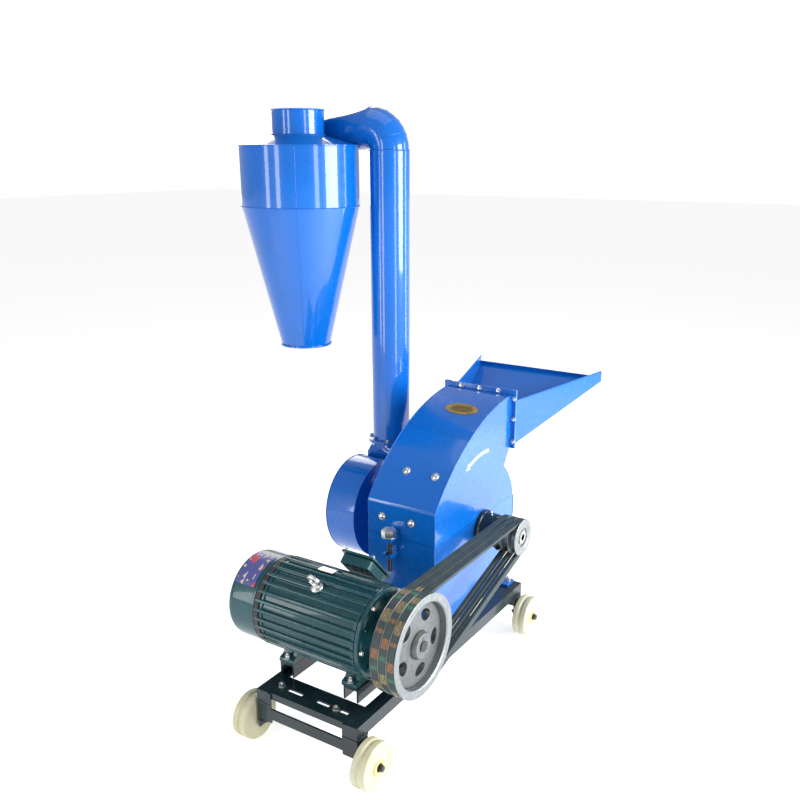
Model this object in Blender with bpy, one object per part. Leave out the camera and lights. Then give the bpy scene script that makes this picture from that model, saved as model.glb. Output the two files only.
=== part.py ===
"""Hammer mill with blower and cyclone: one object per sub-part, in metres, +Z up.

X runs along the frame from the motor to the feed hopper, -Y is the belt side and +Y the blower side.
Sizes are written in millimetres and turned to metres by the builders below. The whole model hangs on one
empty, which puts the middle of its footprint at the world's origin.
"""

import math

import bmesh
import bpy
from mathutils import Matrix, Vector

MM = 0.001
GAP = 0.4

# Frame
FRAME_LENGTH, FRAME_HALF_WIDTH, FRAME_TOP = 999, 176.5, 179
RAIL_FLANGE, RAIL_WALL = 40, 4
LEG_WIDTH, LEG_PLATE_FOOT, LEG_FOOT = 50, 80, 50
WHEEL_RADIUS, WHEEL_WIDTH, WHEEL_GAP, WHEEL_INSET = 70, 52, 8, 19
AXLE_RADIUS = 8

# Motor
MOTOR_X, MOTOR_Z, MOTOR_RADIUS = 204, 354, 138
MOTOR_DRIVE_END, MOTOR_FAN_END, COWL_END = -118, 242, 345
MOTOR_SHAFT_HEIGHT = 132
SHAFT_RADIUS = 19

# Belt drive
BELT_TOP_WIDTH, BELT_BOTTOM_WIDTH, BELT_HEIGHT, BELT_PITCH, BELT_COUNT = 22, 13, 14, 26, 3
PULLEY_OUTER_FACE, PULLEY_INNER_FACE = -262, -182
MOTOR_PULLEY_RADIUS, ROTOR_PULLEY_RADIUS = 150, 61

# Mill
ROTOR_X, ROTOR_Z = 811, 448
MILL_NEAR, MILL_FAR, MILL_WALL = -112, 132, 4
MILL_FRONT, BEND_Z, SPLIT_Z = 502, 588, 494
COVER_ARC_X, COVER_ARC_Z, COVER_ARC_RADIUS = 1035, 191, 675
CHAMBER_RADIUS = 228
THROAT_X, THROAT_TOP, THROAT_BOTTOM = 996, 860, 682
HINGE_X = 1052
ROTOR_SHAFT_RADIUS = 25
HAMMER_PIN_CIRCLE, HAMMER_PIN_RADIUS, HAMMER_REACH = 125, 10, 75
SCREEN_RADIUS = 212

# Feed hopper
MOUTH_X, MOUTH_HALF_WIDTH, MOUTH_MIDDLE, MOUTH_FLOOR, MOUTH_TOP = 1430, 251, -11, 838, 874
MILL_MIDDLE = (MILL_NEAR + MILL_FAR) / 2

# Blower, delivery pipe and cyclone
FAN_NEAR, FAN_FAR, FAN_SHEET = 290, 408, 3
VOLUTE_START_RADIUS, VOLUTE_END_RADIUS, VOLUTE_START = 152, 213, 60
PIPE_X, PIPE_Y, PIPE_RADIUS, PIPE_SHEET = 957, 349, 67, 2.5
NECK_TOP, PIPE_TOP, ELBOW_BEND = 644, 1643, 70
CYCLONE_X, CYCLONE_Y, CYCLONE_RADIUS = 806, 609, 200
CYCLONE_RIM, CYCLONE_WAIST, CYCLONE_OUTLET, OUTLET_RADIUS = 1658, 1465, 991, 86
EXHAUST_RADIUS, EXHAUST_TOP, LID_TOP = 86, 1770, 1690
DUCT_WIDTH, DUCT_FLOOR, DUCT_TOP, DUCT_END = 105, 1630, 1742, 660

BLUE = (0.0, 0.17, 0.62), 0.25, 0.0
MOTOR_GREEN = (0.02, 0.1, 0.11), 0.3, 0.0
FRAME_BLACK = (0.012, 0.016, 0.02), 0.4, 0.0
NYLON = (0.86, 0.85, 0.68), 0.45, 0.0
CAST_GREY = (0.52, 0.55, 0.55), 0.4, 0.8
STEEL = (0.55, 0.56, 0.57), 0.3, 1.0
RUBBER = (0.02, 0.025, 0.025), 0.7, 0.0


# ---------------------------------------------------------------- builders

def material(name, look):
    colour, roughness, metallic = look
    found = bpy.data.materials.get(name)
    if found:
        return found
    made = bpy.data.materials.new(name)
    made.use_nodes = True
    shader = made.node_tree.nodes["Principled BSDF"]
    shader.inputs["Base Color"].default_value = (*colour, 1)
    shader.inputs["Roughness"].default_value = roughness
    shader.inputs["Metallic"].default_value = metallic
    return made


def mesh_object(name, points, faces):
    """A new object from points in millimetres, with its normals turned outwards."""
    mesh = bpy.data.meshes.new(name)
    mesh.from_pydata([[c * MM for c in point] for point in points], [], faces)
    edit = bmesh.new()
    edit.from_mesh(mesh)
    bmesh.ops.remove_doubles(edit, verts=edit.verts, dist=1e-6)
    bmesh.ops.recalc_face_normals(edit, faces=edit.faces)
    edit.to_mesh(mesh)
    edit.free()
    made = bpy.data.objects.new(name, mesh)
    bpy.context.scene.collection.objects.link(made)
    return made


def to_space(axis, along, u, v):
    """A point from its place along an axis and its two coordinates across it, in X, Y, Z order."""
    return {"x": (along, u, v), "y": (u, along, v), "z": (u, v, along)}[axis]


def loft(name, rings):
    """A solid through rings of equal point counts, with flat ends."""
    count = len(rings[0])
    points = [point for ring in rings for point in ring]
    faces = [list(range(count)), list(range(len(points) - count, len(points)))]
    for start in range(0, len(points) - count, count):
        for i in range(count):
            j = (i + 1) % count
            faces.append([start + i, start + j, start + count + j, start + count + i])
    return mesh_object(name, points, faces)


def prism(name, outline, axis, low, high):
    return loft(name, [[to_space(axis, along, u, v) for u, v in outline] for along in (low, high)])


def box(name, low, high):
    outline = [(low[0], low[1]), (high[0], low[1]), (high[0], high[1]), (low[0], high[1])]
    return prism(name, outline, "z", low[2], high[2])


def turned(name, profile, axis, centre, steps=32):
    """A closed profile of (radius, along) points turned once about an axis through centre."""
    rings = []
    for radius, along in profile:
        ring = []
        for step in range(steps):
            angle = 2 * math.pi * step / steps
            ring.append(to_space(axis, along, centre[0] + radius * math.cos(angle),
                                 centre[1] + radius * math.sin(angle)))
        rings.append(ring)
    points = [point for ring in rings for point in ring]
    faces = []
    for row in range(len(profile)):
        nxt = (row + 1) % len(profile)
        if profile[row][0] == 0 and profile[nxt][0] == 0:
            continue
        for i in range(steps):
            j = (i + 1) % steps
            corners = [row * steps + i, row * steps + j, nxt * steps + j, nxt * steps + i]
            if profile[row][0] == 0:
                corners.remove(row * steps + j)
            if profile[nxt][0] == 0:
                corners.remove(nxt * steps + j)
            faces.append(corners)
    return mesh_object(name, points, faces)


def rod(name, axis, centre, radius, low, high, steps=24):
    return prism(name, circle(centre, radius, steps), axis, low, high)


def tube(name, axis, centre, outer, inner, low, high, steps=32):
    return turned(name, [(outer, low), (outer, high), (inner, high), (inner, low)], axis, centre, steps)


def circle(centre, radius, steps=32, start=0, sweep=360):
    """Points round a circle, or along an arc with both its ends when it doesn't close."""
    count = steps if abs(sweep) == 360 else steps + 1
    return [(centre[0] + radius * math.cos(math.radians(start + sweep * i / steps)),
             centre[1] + radius * math.sin(math.radians(start + sweep * i / steps))) for i in range(count)]


def inset(outline, distance):
    """The outline with each edge moved inwards, for an outline that runs anticlockwise."""
    moved = []
    for before, here, after in zip(outline[-1:] + outline[:-1], outline, outline[1:] + outline[:1]):
        first = (Vector(here) - Vector(before)).normalized()
        second = (Vector(after) - Vector(here)).normalized()
        normal = Vector((-first.y - second.y, first.x + second.x)).normalized()
        reach = distance / max(0.2, normal.dot(Vector((-first.y, first.x))))
        moved.append((here[0] + normal.x * reach, here[1] + normal.y * reach))
    return moved


def combine(target, tools, operation="DIFFERENCE"):
    """Cuts the tools from the target, or joins them to it, and removes them."""
    for tool in tools:
        step = target.modifiers.new(operation.title(), "BOOLEAN")
        step.object, step.operation, step.solver = tool, operation, "EXACT"
        bpy.context.view_layer.update()
        graph = bpy.context.evaluated_depsgraph_get()
        result = bpy.data.meshes.new_from_object(target.evaluated_get(graph))
        target.modifiers.clear()
        target.data = result
        bpy.data.objects.remove(tool)
    return target


def join(target, *tools):
    return combine(target, tools, "UNION")


def cut(target, *tools):
    return combine(target, tools)


def finish(part, look_name, look, origin=None, smooth=True):
    """Gives a part its material, shading and origin, and hangs it on the model's empty."""
    part.data.materials.clear()
    part.data.materials.append(material(look_name, look))
    if smooth:
        part.data.shade_smooth()
        part.data.set_sharp_from_angle(angle=math.radians(32))
    if origin:
        shift = Vector(origin) * MM
        part.data.transform(Matrix.Translation(-shift))
        part.location = shift
    part.parent = MODEL
    return part


# ---------------------------------------------------------------- frame and wheels

def side_frame(name, side):
    """An angle-iron rail with a leg welded under each end."""
    face, lip = side * FRAME_HALF_WIDTH, side * (FRAME_HALF_WIDTH - RAIL_FLANGE)
    web = side * (FRAME_HALF_WIDTH - RAIL_WALL)
    rail = prism(name, [(face, FRAME_TOP - RAIL_FLANGE), (face, FRAME_TOP), (lip, FRAME_TOP),
                        (lip, FRAME_TOP - RAIL_WALL), (web, FRAME_TOP - RAIL_WALL),
                        (web, FRAME_TOP - RAIL_FLANGE)], "x", 0, FRAME_LENGTH)
    inner = side * (FRAME_HALF_WIDTH - LEG_WIDTH)
    top = FRAME_TOP - RAIL_WALL / 2
    for end, inward in ((0, 1), (FRAME_LENGTH, -1)):
        plate = end + inward * RAIL_WALL
        back = end + inward * LEG_WIDTH
        front = box("leg_plate", (min(end, plate), min(face, inner), LEG_PLATE_FOOT),
                    (max(end, plate), max(face, inner), top))
        cheek = box("leg_cheek", (min(end, back), min(face, web), LEG_FOOT), (max(end, back), max(face, web), top))
        join(rail, front, cheek)
        axle_x = WHEEL_INSET if end == 0 else FRAME_LENGTH - WHEEL_INSET
        cut(rail, rod("axle_hole", "y", (axle_x, WHEEL_RADIUS), AXLE_RADIUS + 0.2,
                      min(face, web) - 5, max(face, web) + 5, 16))
    return finish(rail, "frame_paint", FRAME_BLACK)


def slotted_plate(name, low_x, high_x):
    """A cross plate of folded sheet with adjusting slots and bolt holes."""
    inner = FRAME_HALF_WIDTH - RAIL_FLANGE - GAP
    top = FRAME_TOP
    plate = box(name, (low_x, -inner, top - 5), (high_x, inner, top))
    fold_x = low_x if low_x < FRAME_LENGTH / 2 else high_x - 5
    join(plate, box("fold", (fold_x, -inner, top - 22), (fold_x + 5, inner, top - 1)))
    for slot_y, half in ((69, 26), (-30, 22), (-103, 14)):
        for_slot = box("slot", (low_x + 34, slot_y - half, top - 10), (low_x + 46, slot_y + half, top + 10))
        cut(plate, for_slot)
    return finish(plate, "frame_paint", FRAME_BLACK, smooth=False)


def cross_beam(name, low_x, high_x, low_z, high_z, reach):
    return finish(box(name, (low_x, -reach, low_z), (high_x, reach, high_z)), "frame_paint", FRAME_BLACK,
                  smooth=False)


def slide_rail(name, low_y, high_y):
    """A channel that the motor slides on to tighten the belts, with a slot along its top."""
    low_x, high_x = 96, 352
    foot = MOTOR_Z - MOTOR_SHAFT_HEIGHT - GAP
    rail = box(name, (low_x, low_y, FRAME_TOP + GAP), (high_x, high_y, foot))
    middle = (low_y + high_y) / 2
    cut(rail, box("channel", (low_x - 5, low_y + 5, FRAME_TOP - 5), (high_x + 5, high_y - 5, foot - 6)),
        box("slot", (low_x + 14, middle - 7, foot - 12), (high_x - 14, middle + 7, foot + 5)))
    return finish(rail, "frame_paint", FRAME_BLACK, smooth=False)


def wheel(name, x, side):
    """A moulded roller with rounded shoulders and a slightly dished outer face."""
    inner_face = side * (FRAME_HALF_WIDTH + WHEEL_GAP)
    out = side * WHEEL_WIDTH
    r = WHEEL_RADIUS
    profile = [(AXLE_RADIUS + 0.2, 0), (66, 0), (r, 0.1), (r, 0.9), (66, 0.98), (50, 0.94), (AXLE_RADIUS + 0.2, 0.97)]
    placed = [(radius, inner_face + out * part) for radius, part in profile]
    return finish(turned(name, placed, "y", (x, r), 24), "wheel_nylon", NYLON,
                  (x, inner_face + out / 2, r))


def wheel_bolt(name, x, side):
    """A shouldered bolt through the leg: head inside, washer and nut outside the wheel."""
    leg_in = FRAME_HALF_WIDTH - RAIL_WALL
    hub_out = FRAME_HALF_WIDTH + WHEEL_GAP + WHEEL_WIDTH * 0.97
    r = AXLE_RADIUS
    profile = [(0, leg_in - 8), (12, leg_in - 8), (12, leg_in - GAP), (r, leg_in - GAP),
               (r, FRAME_HALF_WIDTH + GAP), (12, FRAME_HALF_WIDTH + GAP), (12, FRAME_HALF_WIDTH + WHEEL_GAP - GAP),
               (r, FRAME_HALF_WIDTH + WHEEL_GAP - GAP), (r, hub_out + GAP), (11, hub_out + GAP),
               (11, hub_out + 5), (0, hub_out + 5)]
    placed = [(radius, side * along) for radius, along in profile]
    return finish(turned(name, placed, "y", (x, WHEEL_RADIUS), 10), "zinc_steel", STEEL)


def build_frame():
    side_frame("frame_side_near", -1)
    side_frame("frame_side_far", 1)
    slotted_plate("front_cross_plate", 4 + GAP, 95)
    slotted_plate("rear_cross_plate", FRAME_LENGTH - 95, FRAME_LENGTH - 4 - GAP)
    reach = FRAME_HALF_WIDTH - RAIL_FLANGE - GAP
    cross_beam("middle_cross_beam", 318, 358, FRAME_TOP - 34, FRAME_TOP, reach)
    cross_beam("front_lower_bar", 0, 6, 92, 126, FRAME_HALF_WIDTH - LEG_WIDTH - GAP)
    cross_beam("rear_lower_bar", FRAME_LENGTH - 6, FRAME_LENGTH, 92, 126, FRAME_HALF_WIDTH - LEG_WIDTH - GAP)
    slide_rail("slide_rail_near", -112, -62)
    slide_rail("slide_rail_far", 118, 168)
    for end, x in (("front", WHEEL_INSET), ("rear", FRAME_LENGTH - WHEEL_INSET)):
        for which, side in (("near", -1), ("far", 1)):
            wheel(f"wheel_{end}_{which}", x, side)
            wheel_bolt(f"wheel_bolt_{end}_{which}", x, side)


# ---------------------------------------------------------------- motor

def finned_outline(fins, tip, root):
    """The stator's fins seen from its end, trimmed where they would reach below the feet."""
    points = []
    for fin in range(fins):
        for part, radius in ((-0.2, root), (-0.14, tip), (0.14, tip), (0.2, root)):
            angle = 2 * math.pi * (fin + part) / fins
            if math.sin(angle) < 0:
                radius = min(radius, (MOTOR_SHAFT_HEIGHT - 4) / -math.sin(angle))
            points.append((MOTOR_X + radius * math.cos(angle), MOTOR_Z + radius * math.sin(angle)))
    return points


def build_motor_frame():
    """The finned stator housing with its bore, and the cast feet under it."""
    low, high = MOTOR_DRIVE_END, MOTOR_FAN_END
    axis = (MOTOR_X, MOTOR_Z)
    body = prism("motor_frame", finned_outline(28, MOTOR_RADIUS - 2, MOTOR_RADIUS - 12), "y", low, high)
    foot = MOTOR_Z - MOTOR_SHAFT_HEIGHT
    for low_y, high_y in ((-108, -58), (118, 168)):
        feet = [(MOTOR_X - 112, foot), (MOTOR_X + 112, foot), (MOTOR_X + 112, foot + 16), (MOTOR_X + 92, foot + 26),
                (MOTOR_X + 84, foot + 60), (MOTOR_X - 84, foot + 60), (MOTOR_X - 92, foot + 26),
                (MOTOR_X - 112, foot + 16)]
        join(body, prism("feet", feet, "y", low_y, high_y))
    cut(body, rod("bore", "y", axis, 96, low - 10, high + 10, 24))
    seat = terminal_block("seat", 96, 141, 50, 44)
    join(body, seat)
    cut(body, rod("bore", "y", axis, 97, low - 10, high + 10, 24))
    return finish(body, "motor_paint", MOTOR_GREEN)


def terminal_axes():
    """Outward and upward directions of the terminal box, which leans out on the mill's side of the motor."""
    lean = math.radians(42)
    return (math.cos(lean), math.sin(lean)), (-math.sin(lean), math.cos(lean))


TERMINAL_UP, TERMINAL_Y = 12, 17


def terminal_block(name, inner, outer, half_up, half_y):
    out, up = terminal_axes()
    corners = []
    for reach, rise in ((inner, -half_up), (outer, -half_up), (outer, half_up), (inner, half_up)):
        rise += TERMINAL_UP
        corners.append((MOTOR_X + out[0] * reach + up[0] * rise, MOTOR_Z + out[1] * reach + up[1] * rise))
    return prism(name, corners, "y", TERMINAL_Y - half_y, TERMINAL_Y + half_y)


def build_motor():
    axis = (MOTOR_X, MOTOR_Z)
    build_motor_frame()
    low, shield = MOTOR_DRIVE_END - GAP, MOTOR_DRIVE_END - 36
    profile = [(SHAFT_RADIUS + 1, low), (MOTOR_RADIUS - 8, low), (MOTOR_RADIUS - 4, low - 4), (MOTOR_RADIUS - 4, low - 14),
               (MOTOR_RADIUS - 22, low - 20), (62, shield + 6), (50, shield), (SHAFT_RADIUS + 1, shield)]
    finish(turned("motor_end_shield", profile, "y", axis, 20), "motor_paint", MOTOR_GREEN)
    start, end, r = MOTOR_FAN_END + GAP, COWL_END, MOTOR_RADIUS - 6
    profile = [(r - 3, start), (r - 1, start), (r - 1, end - 24), (r - 16, end), (34, end),
               (34, end - 3), (r - 17, end - 3), (r - 3, end - 25)]
    finish(turned("motor_fan_cowl", profile, "y", axis, 20), "motor_paint", MOTOR_GREEN)
    housing = terminal_block("terminal_box", 141 + GAP, 172, 60, 52)
    cut(housing, terminal_block("hollow", 146, 190, 55, 47))
    finish(housing, "motor_paint", MOTOR_GREEN, smooth=False)
    lid = terminal_block("terminal_lid", 172 + GAP, 180, 68, 59)
    finish(lid, "motor_paint", MOTOR_GREEN, smooth=False)
    centre = (MOTOR_X, 0, MOTOR_Z)
    finish(rod("motor_shaft", "y", axis, SHAFT_RADIUS, PULLEY_OUTER_FACE + 3, 312, 20), "bright_steel", STEEL, centre)
    build_cooling_fan(axis, centre)
    build_motor_pulley(axis, centre)


def build_cooling_fan(axis, centre):
    fan = tube("motor_cooling_fan", "y", axis, 36, SHAFT_RADIUS + 0.2, 262, 308, 24)
    for blade in range(7):
        turn = 2 * math.pi * blade / 7
        corners = [(MOTOR_X + along * math.cos(turn) - across * math.sin(turn),
                    MOTOR_Z + along * math.sin(turn) + across * math.cos(turn))
                   for along, across in ((30, -2), (112, -2), (112, 2), (30, 2))]
        join(fan, prism("blade", corners, "y", 264, 304))
    finish(fan, "fan_plastic", RUBBER, centre)


# ---------------------------------------------------------------- belt drive

def belt_lines():
    middle = (PULLEY_OUTER_FACE + PULLEY_INNER_FACE) / 2
    return [middle + BELT_PITCH * (i - (BELT_COUNT - 1) / 2) for i in range(BELT_COUNT)]


def grooved_rim(radius):
    """The pulley's outer profile as (radius, along), with one V groove for each belt."""
    points = [(radius, PULLEY_OUTER_FACE)]
    for line in belt_lines():
        top, bottom = BELT_TOP_WIDTH / 2 + 1.2, BELT_BOTTOM_WIDTH / 2 + 1
        points += [(radius, line - top), (radius - BELT_HEIGHT - 3, line - bottom),
                   (radius - BELT_HEIGHT - 3, line + bottom), (radius, line + top)]
    return points + [(radius, PULLEY_INNER_FACE)]


def build_motor_pulley(axis, centre):
    """A cast pulley: grooved rim, thin web with openings, and a long hub."""
    bore, hub, rim_in = SHAFT_RADIUS + 0.2, 38, 122
    web_near, web_far = -240, -226
    profile = grooved_rim(MOTOR_PULLEY_RADIUS) + [
        (rim_in, PULLEY_INNER_FACE), (rim_in, web_far), (hub, web_far), (hub, -186), (bore, -186),
        (bore, PULLEY_OUTER_FACE + 1), (hub - 2, PULLEY_OUTER_FACE + 1), (hub, PULLEY_OUTER_FACE + 3),
        (hub, web_near), (rim_in, web_near), (rim_in + 6, PULLEY_OUTER_FACE)]
    pulley = turned("motor_pulley", profile, "y", axis, 24)
    for opening in range(5):
        turn = math.radians(62 + 72 * opening)
        oval = []
        for u, v in circle((0, 0), 1, 8):
            along, across = 84 + 19 * u, 25 * v
            oval.append((MOTOR_X + along * math.cos(turn) - across * math.sin(turn),
                         MOTOR_Z + along * math.sin(turn) + across * math.cos(turn)))
        cut(pulley, prism("web_opening", oval, "y", web_near - 10, web_far + 10))
    finish(pulley, "cast_pulley", CAST_GREY, centre)


def belt_loop(motor_radius, rotor_radius, steps=14):
    """A taut loop round both pulleys: two arcs joined by their outer tangents."""
    span = Vector((ROTOR_X - MOTOR_X, ROTOR_Z - MOTOR_Z))
    heading = math.degrees(math.atan2(span.y, span.x))
    wrap = math.degrees(math.acos((motor_radius - rotor_radius) / span.length))
    return (circle((MOTOR_X, MOTOR_Z), motor_radius, steps, heading + wrap, 360 - 2 * wrap)
            + circle((ROTOR_X, ROTOR_Z), rotor_radius, steps, heading - wrap, 2 * wrap))


def build_belts():
    outer = belt_loop(MOTOR_PULLEY_RADIUS - 0.5, ROTOR_PULLEY_RADIUS - 0.5)
    inner = belt_loop(MOTOR_PULLEY_RADIUS - 0.5 - BELT_HEIGHT, ROTOR_PULLEY_RADIUS - 0.5 - BELT_HEIGHT)
    for number, line in enumerate(belt_lines(), 1):
        half_top, half_bottom = BELT_TOP_WIDTH / 2, BELT_BOTTOM_WIDTH / 2
        rings = [(outer, line - half_top), (outer, line + half_top), (inner, line + half_bottom),
                 (inner, line - half_bottom)]
        points = [(x, y, z) for loop, y in rings for x, z in loop]
        count = len(outer)
        faces = []
        for ring in range(4):
            for i in range(count):
                j = (i + 1) % count
                a, b = ring * count, (ring + 1) % 4 * count
                faces.append([a + i, a + j, b + j, b + i])
        finish(mesh_object(f"v_belt_{number}", points, faces), "belt_rubber", RUBBER)
    axis, centre = (ROTOR_X, ROTOR_Z), (ROTOR_X, 0, ROTOR_Z)
    bore = ROTOR_SHAFT_RADIUS - 3 + 0.2
    profile = grooved_rim(ROTOR_PULLEY_RADIUS) + [(bore, PULLEY_INNER_FACE), (bore, PULLEY_OUTER_FACE)]
    finish(turned("rotor_pulley", profile, "y", axis, 18), "cast_pulley", CAST_GREY, centre)


# ---------------------------------------------------------------- mill

def mill_outline():
    """The whole housing seen from the belt side, anticlockwise from its front bottom corner."""
    base = FRAME_TOP + GAP
    rear = circle((ROTOR_X, ROTOR_Z), CHAMBER_RADIUS, 10, -52, 102)
    start = math.degrees(math.atan2(BEND_Z + 14 - COVER_ARC_Z, MILL_FRONT - COVER_ARC_X))
    stop = math.degrees(math.atan2(THROAT_TOP - COVER_ARC_Z, -66))
    roof = circle((COVER_ARC_X, COVER_ARC_Z), COVER_ARC_RADIUS, 8, stop, start - stop)
    return ([(MILL_FRONT, base), (rear[0][0], base)] + rear
            + [(THROAT_X, THROAT_BOTTOM), (THROAT_X, THROAT_TOP)] + roof)


def half_space(name, above):
    low, high = (SPLIT_Z + GAP / 2, 1200) if above else (0, SPLIT_Z - GAP / 2)
    return box(name, (300, MILL_NEAR - 80, low), (1300, MILL_FAR + 80, high))


def hollow_mill(name, above):
    """The housing's shell above or below the split, with both side plates."""
    shell = prism(name, mill_outline(), "y", MILL_NEAR, MILL_FAR)
    combine(shell, [half_space("keep", above)], "INTERSECT")
    hollow = prism("hollow", inset(mill_outline(), MILL_WALL), "y", MILL_NEAR + MILL_WALL, MILL_FAR - MILL_WALL)
    return cut(shell, hollow)


def knuckle(low_y, high_y, low_z, high_z):
    ring = rod("knuckle", "y", (HINGE_X, SPLIT_Z), 14, low_y, high_y, 14)
    return join(ring, box("leaf", (HINGE_X - 26, low_y, low_z), (HINGE_X, high_y, high_z)))


def build_lower_housing():
    shell = hollow_mill("mill_lower_housing", False)
    for y in (MILL_NEAR, MILL_FAR):
        cut(shell, rod("shaft_hole", "y", (ROTOR_X, ROTOR_Z), 34, y - 10, y + 10, 14))
    cut(shell, box("outlet", (ROTOR_X - 60, MILL_FAR - 10, 196), (ROTOR_X + 60, MILL_FAR + 10, 262)))
    foot, top = FRAME_TOP + GAP, FRAME_TOP + 8
    rear_x = ROTOR_X + CHAMBER_RADIUS * math.cos(math.radians(52))
    join(shell, box("rear_foot", (rear_x - 10, -150, foot), (FRAME_LENGTH - 6, 150, top)),
         box("front_foot", (MILL_FRONT - 34, -150, foot), (MILL_FRONT + 10, 150, top)))
    gusset = [(rear_x - 8, top - 2), (FRAME_LENGTH - 8, top - 2), (FRAME_LENGTH - 8, top + 20), (rear_x + 18, 292),
              (rear_x - 8, 268)]
    join(shell, prism("gusset_near", gusset, "y", MILL_NEAR, MILL_NEAR + 6),
         prism("gusset_far", gusset, "y", MILL_FAR - 6, MILL_FAR))
    for low, high in ((-92, -44), (64, 112)):
        hinge = knuckle(low, high, SPLIT_Z - 14, SPLIT_Z - GAP / 2)
        join(shell, hinge)
    cut(shell, rod("pin_hole", "y", (HINGE_X, SPLIT_Z), 7.3, -200, 220, 12))
    x = MILL_FRONT - CLAMP_OUT
    bracket = box("clamp_bracket", (x - 17, CLAMP_Y - 16, 440), (MILL_FRONT + 2, CLAMP_Y + 16, 452))
    cut(bracket, box("clamp_slot", (x - 40, CLAMP_Y - CLAMP_RADIUS - 1, 430), (x + 8.5, CLAMP_Y + CLAMP_RADIUS + 1, 460)))
    join(shell, bracket)
    finish(shell, "blue_paint", BLUE)


CLAMP_OUT, CLAMP_Y, CLAMP_RADIUS = 26, 36, 7


def build_cover():
    shell = hollow_mill("mill_cover", True)
    near, far = MILL_NEAR, MILL_FAR
    flange = box("throat_flange", (THROAT_X, near - 16, THROAT_BOTTOM - 6), (THROAT_X + 4, far + 16, THROAT_TOP + 20))
    join(shell, flange)
    cut(shell, box("throat", (THROAT_X - 10, near + MILL_WALL + 2, THROAT_BOTTOM + 8),
                   (THROAT_X + 10, far - MILL_WALL - 2, THROAT_TOP - 12)))
    join(shell, knuckle(-43, 63, SPLIT_Z + GAP / 2, SPLIT_Z + 14))
    cut(shell, rod("pin_hole", "y", (HINGE_X, SPLIT_Z), 7.3, -200, 220, 12))
    x = MILL_FRONT - CLAMP_OUT
    lug = box("clamp_lug", (x - 17, CLAMP_Y - 16, SPLIT_Z + GAP / 2), (MILL_FRONT + 2, CLAMP_Y + 16, SPLIT_Z + 12))
    cut(lug, rod("clamp_hole", "z", (x, CLAMP_Y), CLAMP_RADIUS + 0.3, SPLIT_Z - 10, SPLIT_Z + 30, 20))
    join(shell, lug)
    finish(shell, "blue_paint", BLUE, (HINGE_X, 0, SPLIT_Z))
    finish(rod("cover_hinge_pin", "y", (HINGE_X, SPLIT_Z), 7, -98, 118, 12), "zinc_steel", STEEL)
    seat = SPLIT_Z + 12 + GAP
    profile = [(0, 390), (CLAMP_RADIUS, 390), (CLAMP_RADIUS, seat), (20, seat), (23, seat + 4), (23, seat + 18),
               (19, seat + 24), (8, seat + 26), (0, seat + 26)]
    finish(turned("clamp_screw", profile, "z", (x, CLAMP_Y), 12), "zinc_steel", STEEL, (x, CLAMP_Y, 0))


def build_screen():
    """The perforated half round under the rotor."""
    centre = (ROTOR_X, ROTOR_Z)
    outline = circle(centre, SCREEN_RADIUS, 18, 182, 176) + circle(centre, SCREEN_RADIUS - 3, 18, 358, -176)
    finish(prism("screen", outline, "y", MILL_NEAR + MILL_WALL + 1, MILL_FAR - MILL_WALL - 1), "bright_steel", STEEL)


def pin_place(number):
    turn = math.radians(90 * number)
    return (ROTOR_X + HAMMER_PIN_CIRCLE * math.cos(turn), ROTOR_Z + HAMMER_PIN_CIRCLE * math.sin(turn))


def build_rotor():
    axis, centre = (ROTOR_X, ROTOR_Z), (ROTOR_X, 0, ROTOR_Z)
    big, small = ROTOR_SHAFT_RADIUS, ROTOR_SHAFT_RADIUS - 3
    disc_near, disc_far, disc = -96, 110, 8
    profile = [(0, PULLEY_OUTER_FACE + 2), (small, PULLEY_OUTER_FACE + 2), (small, -178), (big, -178),
               (big, disc_near + disc + GAP), (38, disc_near + disc + GAP), (38, disc_far - GAP), (big, disc_far - GAP),
               (big, 270), (small, 270), (small, 402), (0, 402)]
    finish(turned("rotor_shaft", profile, "y", axis, 18), "bright_steel", STEEL, centre)
    for name, low in (("rotor_disc_near", disc_near), ("rotor_disc_far", disc_far)):
        plate = tube(name, "y", axis, 160, big + 0.2, low, low + disc, 18)
        for number in range(4):
            cut(plate, rod("pin_hole", "y", pin_place(number), HAMMER_PIN_RADIUS + 0.2, low - 5, low + disc + 5, 10))
        finish(plate, "bright_steel", STEEL, centre)
    for number in range(4):
        place = pin_place(number)
        origin = (place[0], 0, place[1])
        pin = rod(f"hammer_pin_{number + 1}", "y", place, HAMMER_PIN_RADIUS, disc_near - 4, disc_far + disc + 4, 10)
        finish(pin, "bright_steel", STEEL, origin)
        row = tube(f"hammer_row_{number + 1}", "y", place, 15, HAMMER_PIN_RADIUS + 0.8, disc_near + disc + 2,
                   disc_far - 2, 10)
        for step in range(4):
            low = disc_near + 20 + 22 * (number % 2) + 44 * step
            plate = box("hammer", (place[0] - 20, low, place[1] - HAMMER_REACH), (place[0] + 20, low + 8, place[1] + 18))
            cut(plate, rod("hole", "y", place, 12, low - 5, low + 15, 10))
            join(row, plate)
        finish(row, "bright_steel", STEEL, origin)


def build_bearings():
    """Round flange housings bolted to the side plates, each round a bearing ring."""
    axis = (ROTOR_X, ROTOR_Z)
    for name, plate, side in (("near", MILL_NEAR - GAP, -1), ("far", MILL_FAR + GAP, 1)):
        profile = [(34, plate), (62, plate), (62, plate + side * 12), (58, plate + side * 15),
                   (56, plate + side * 57), (50, plate + side * 62), (34, plate + side * 62)]
        finish(turned(f"bearing_housing_{name}", profile, "y", axis, 18), "frame_paint", FRAME_BLACK)
        ends = sorted((plate + side * 12, plate + side * 54))
        ring = tube(f"bearing_{name}", "y", axis, 34 - 1.2, ROTOR_SHAFT_RADIUS + 0.8, ends[0], ends[1], 18)
        finish(ring, "bright_steel", STEEL)


# ---------------------------------------------------------------- feed

def hopper_ring(x, half, middle, low, high):
    return [(x, middle - half, low), (x, middle + half, low), (x, middle + half, high), (x, middle - half, high)]


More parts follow.
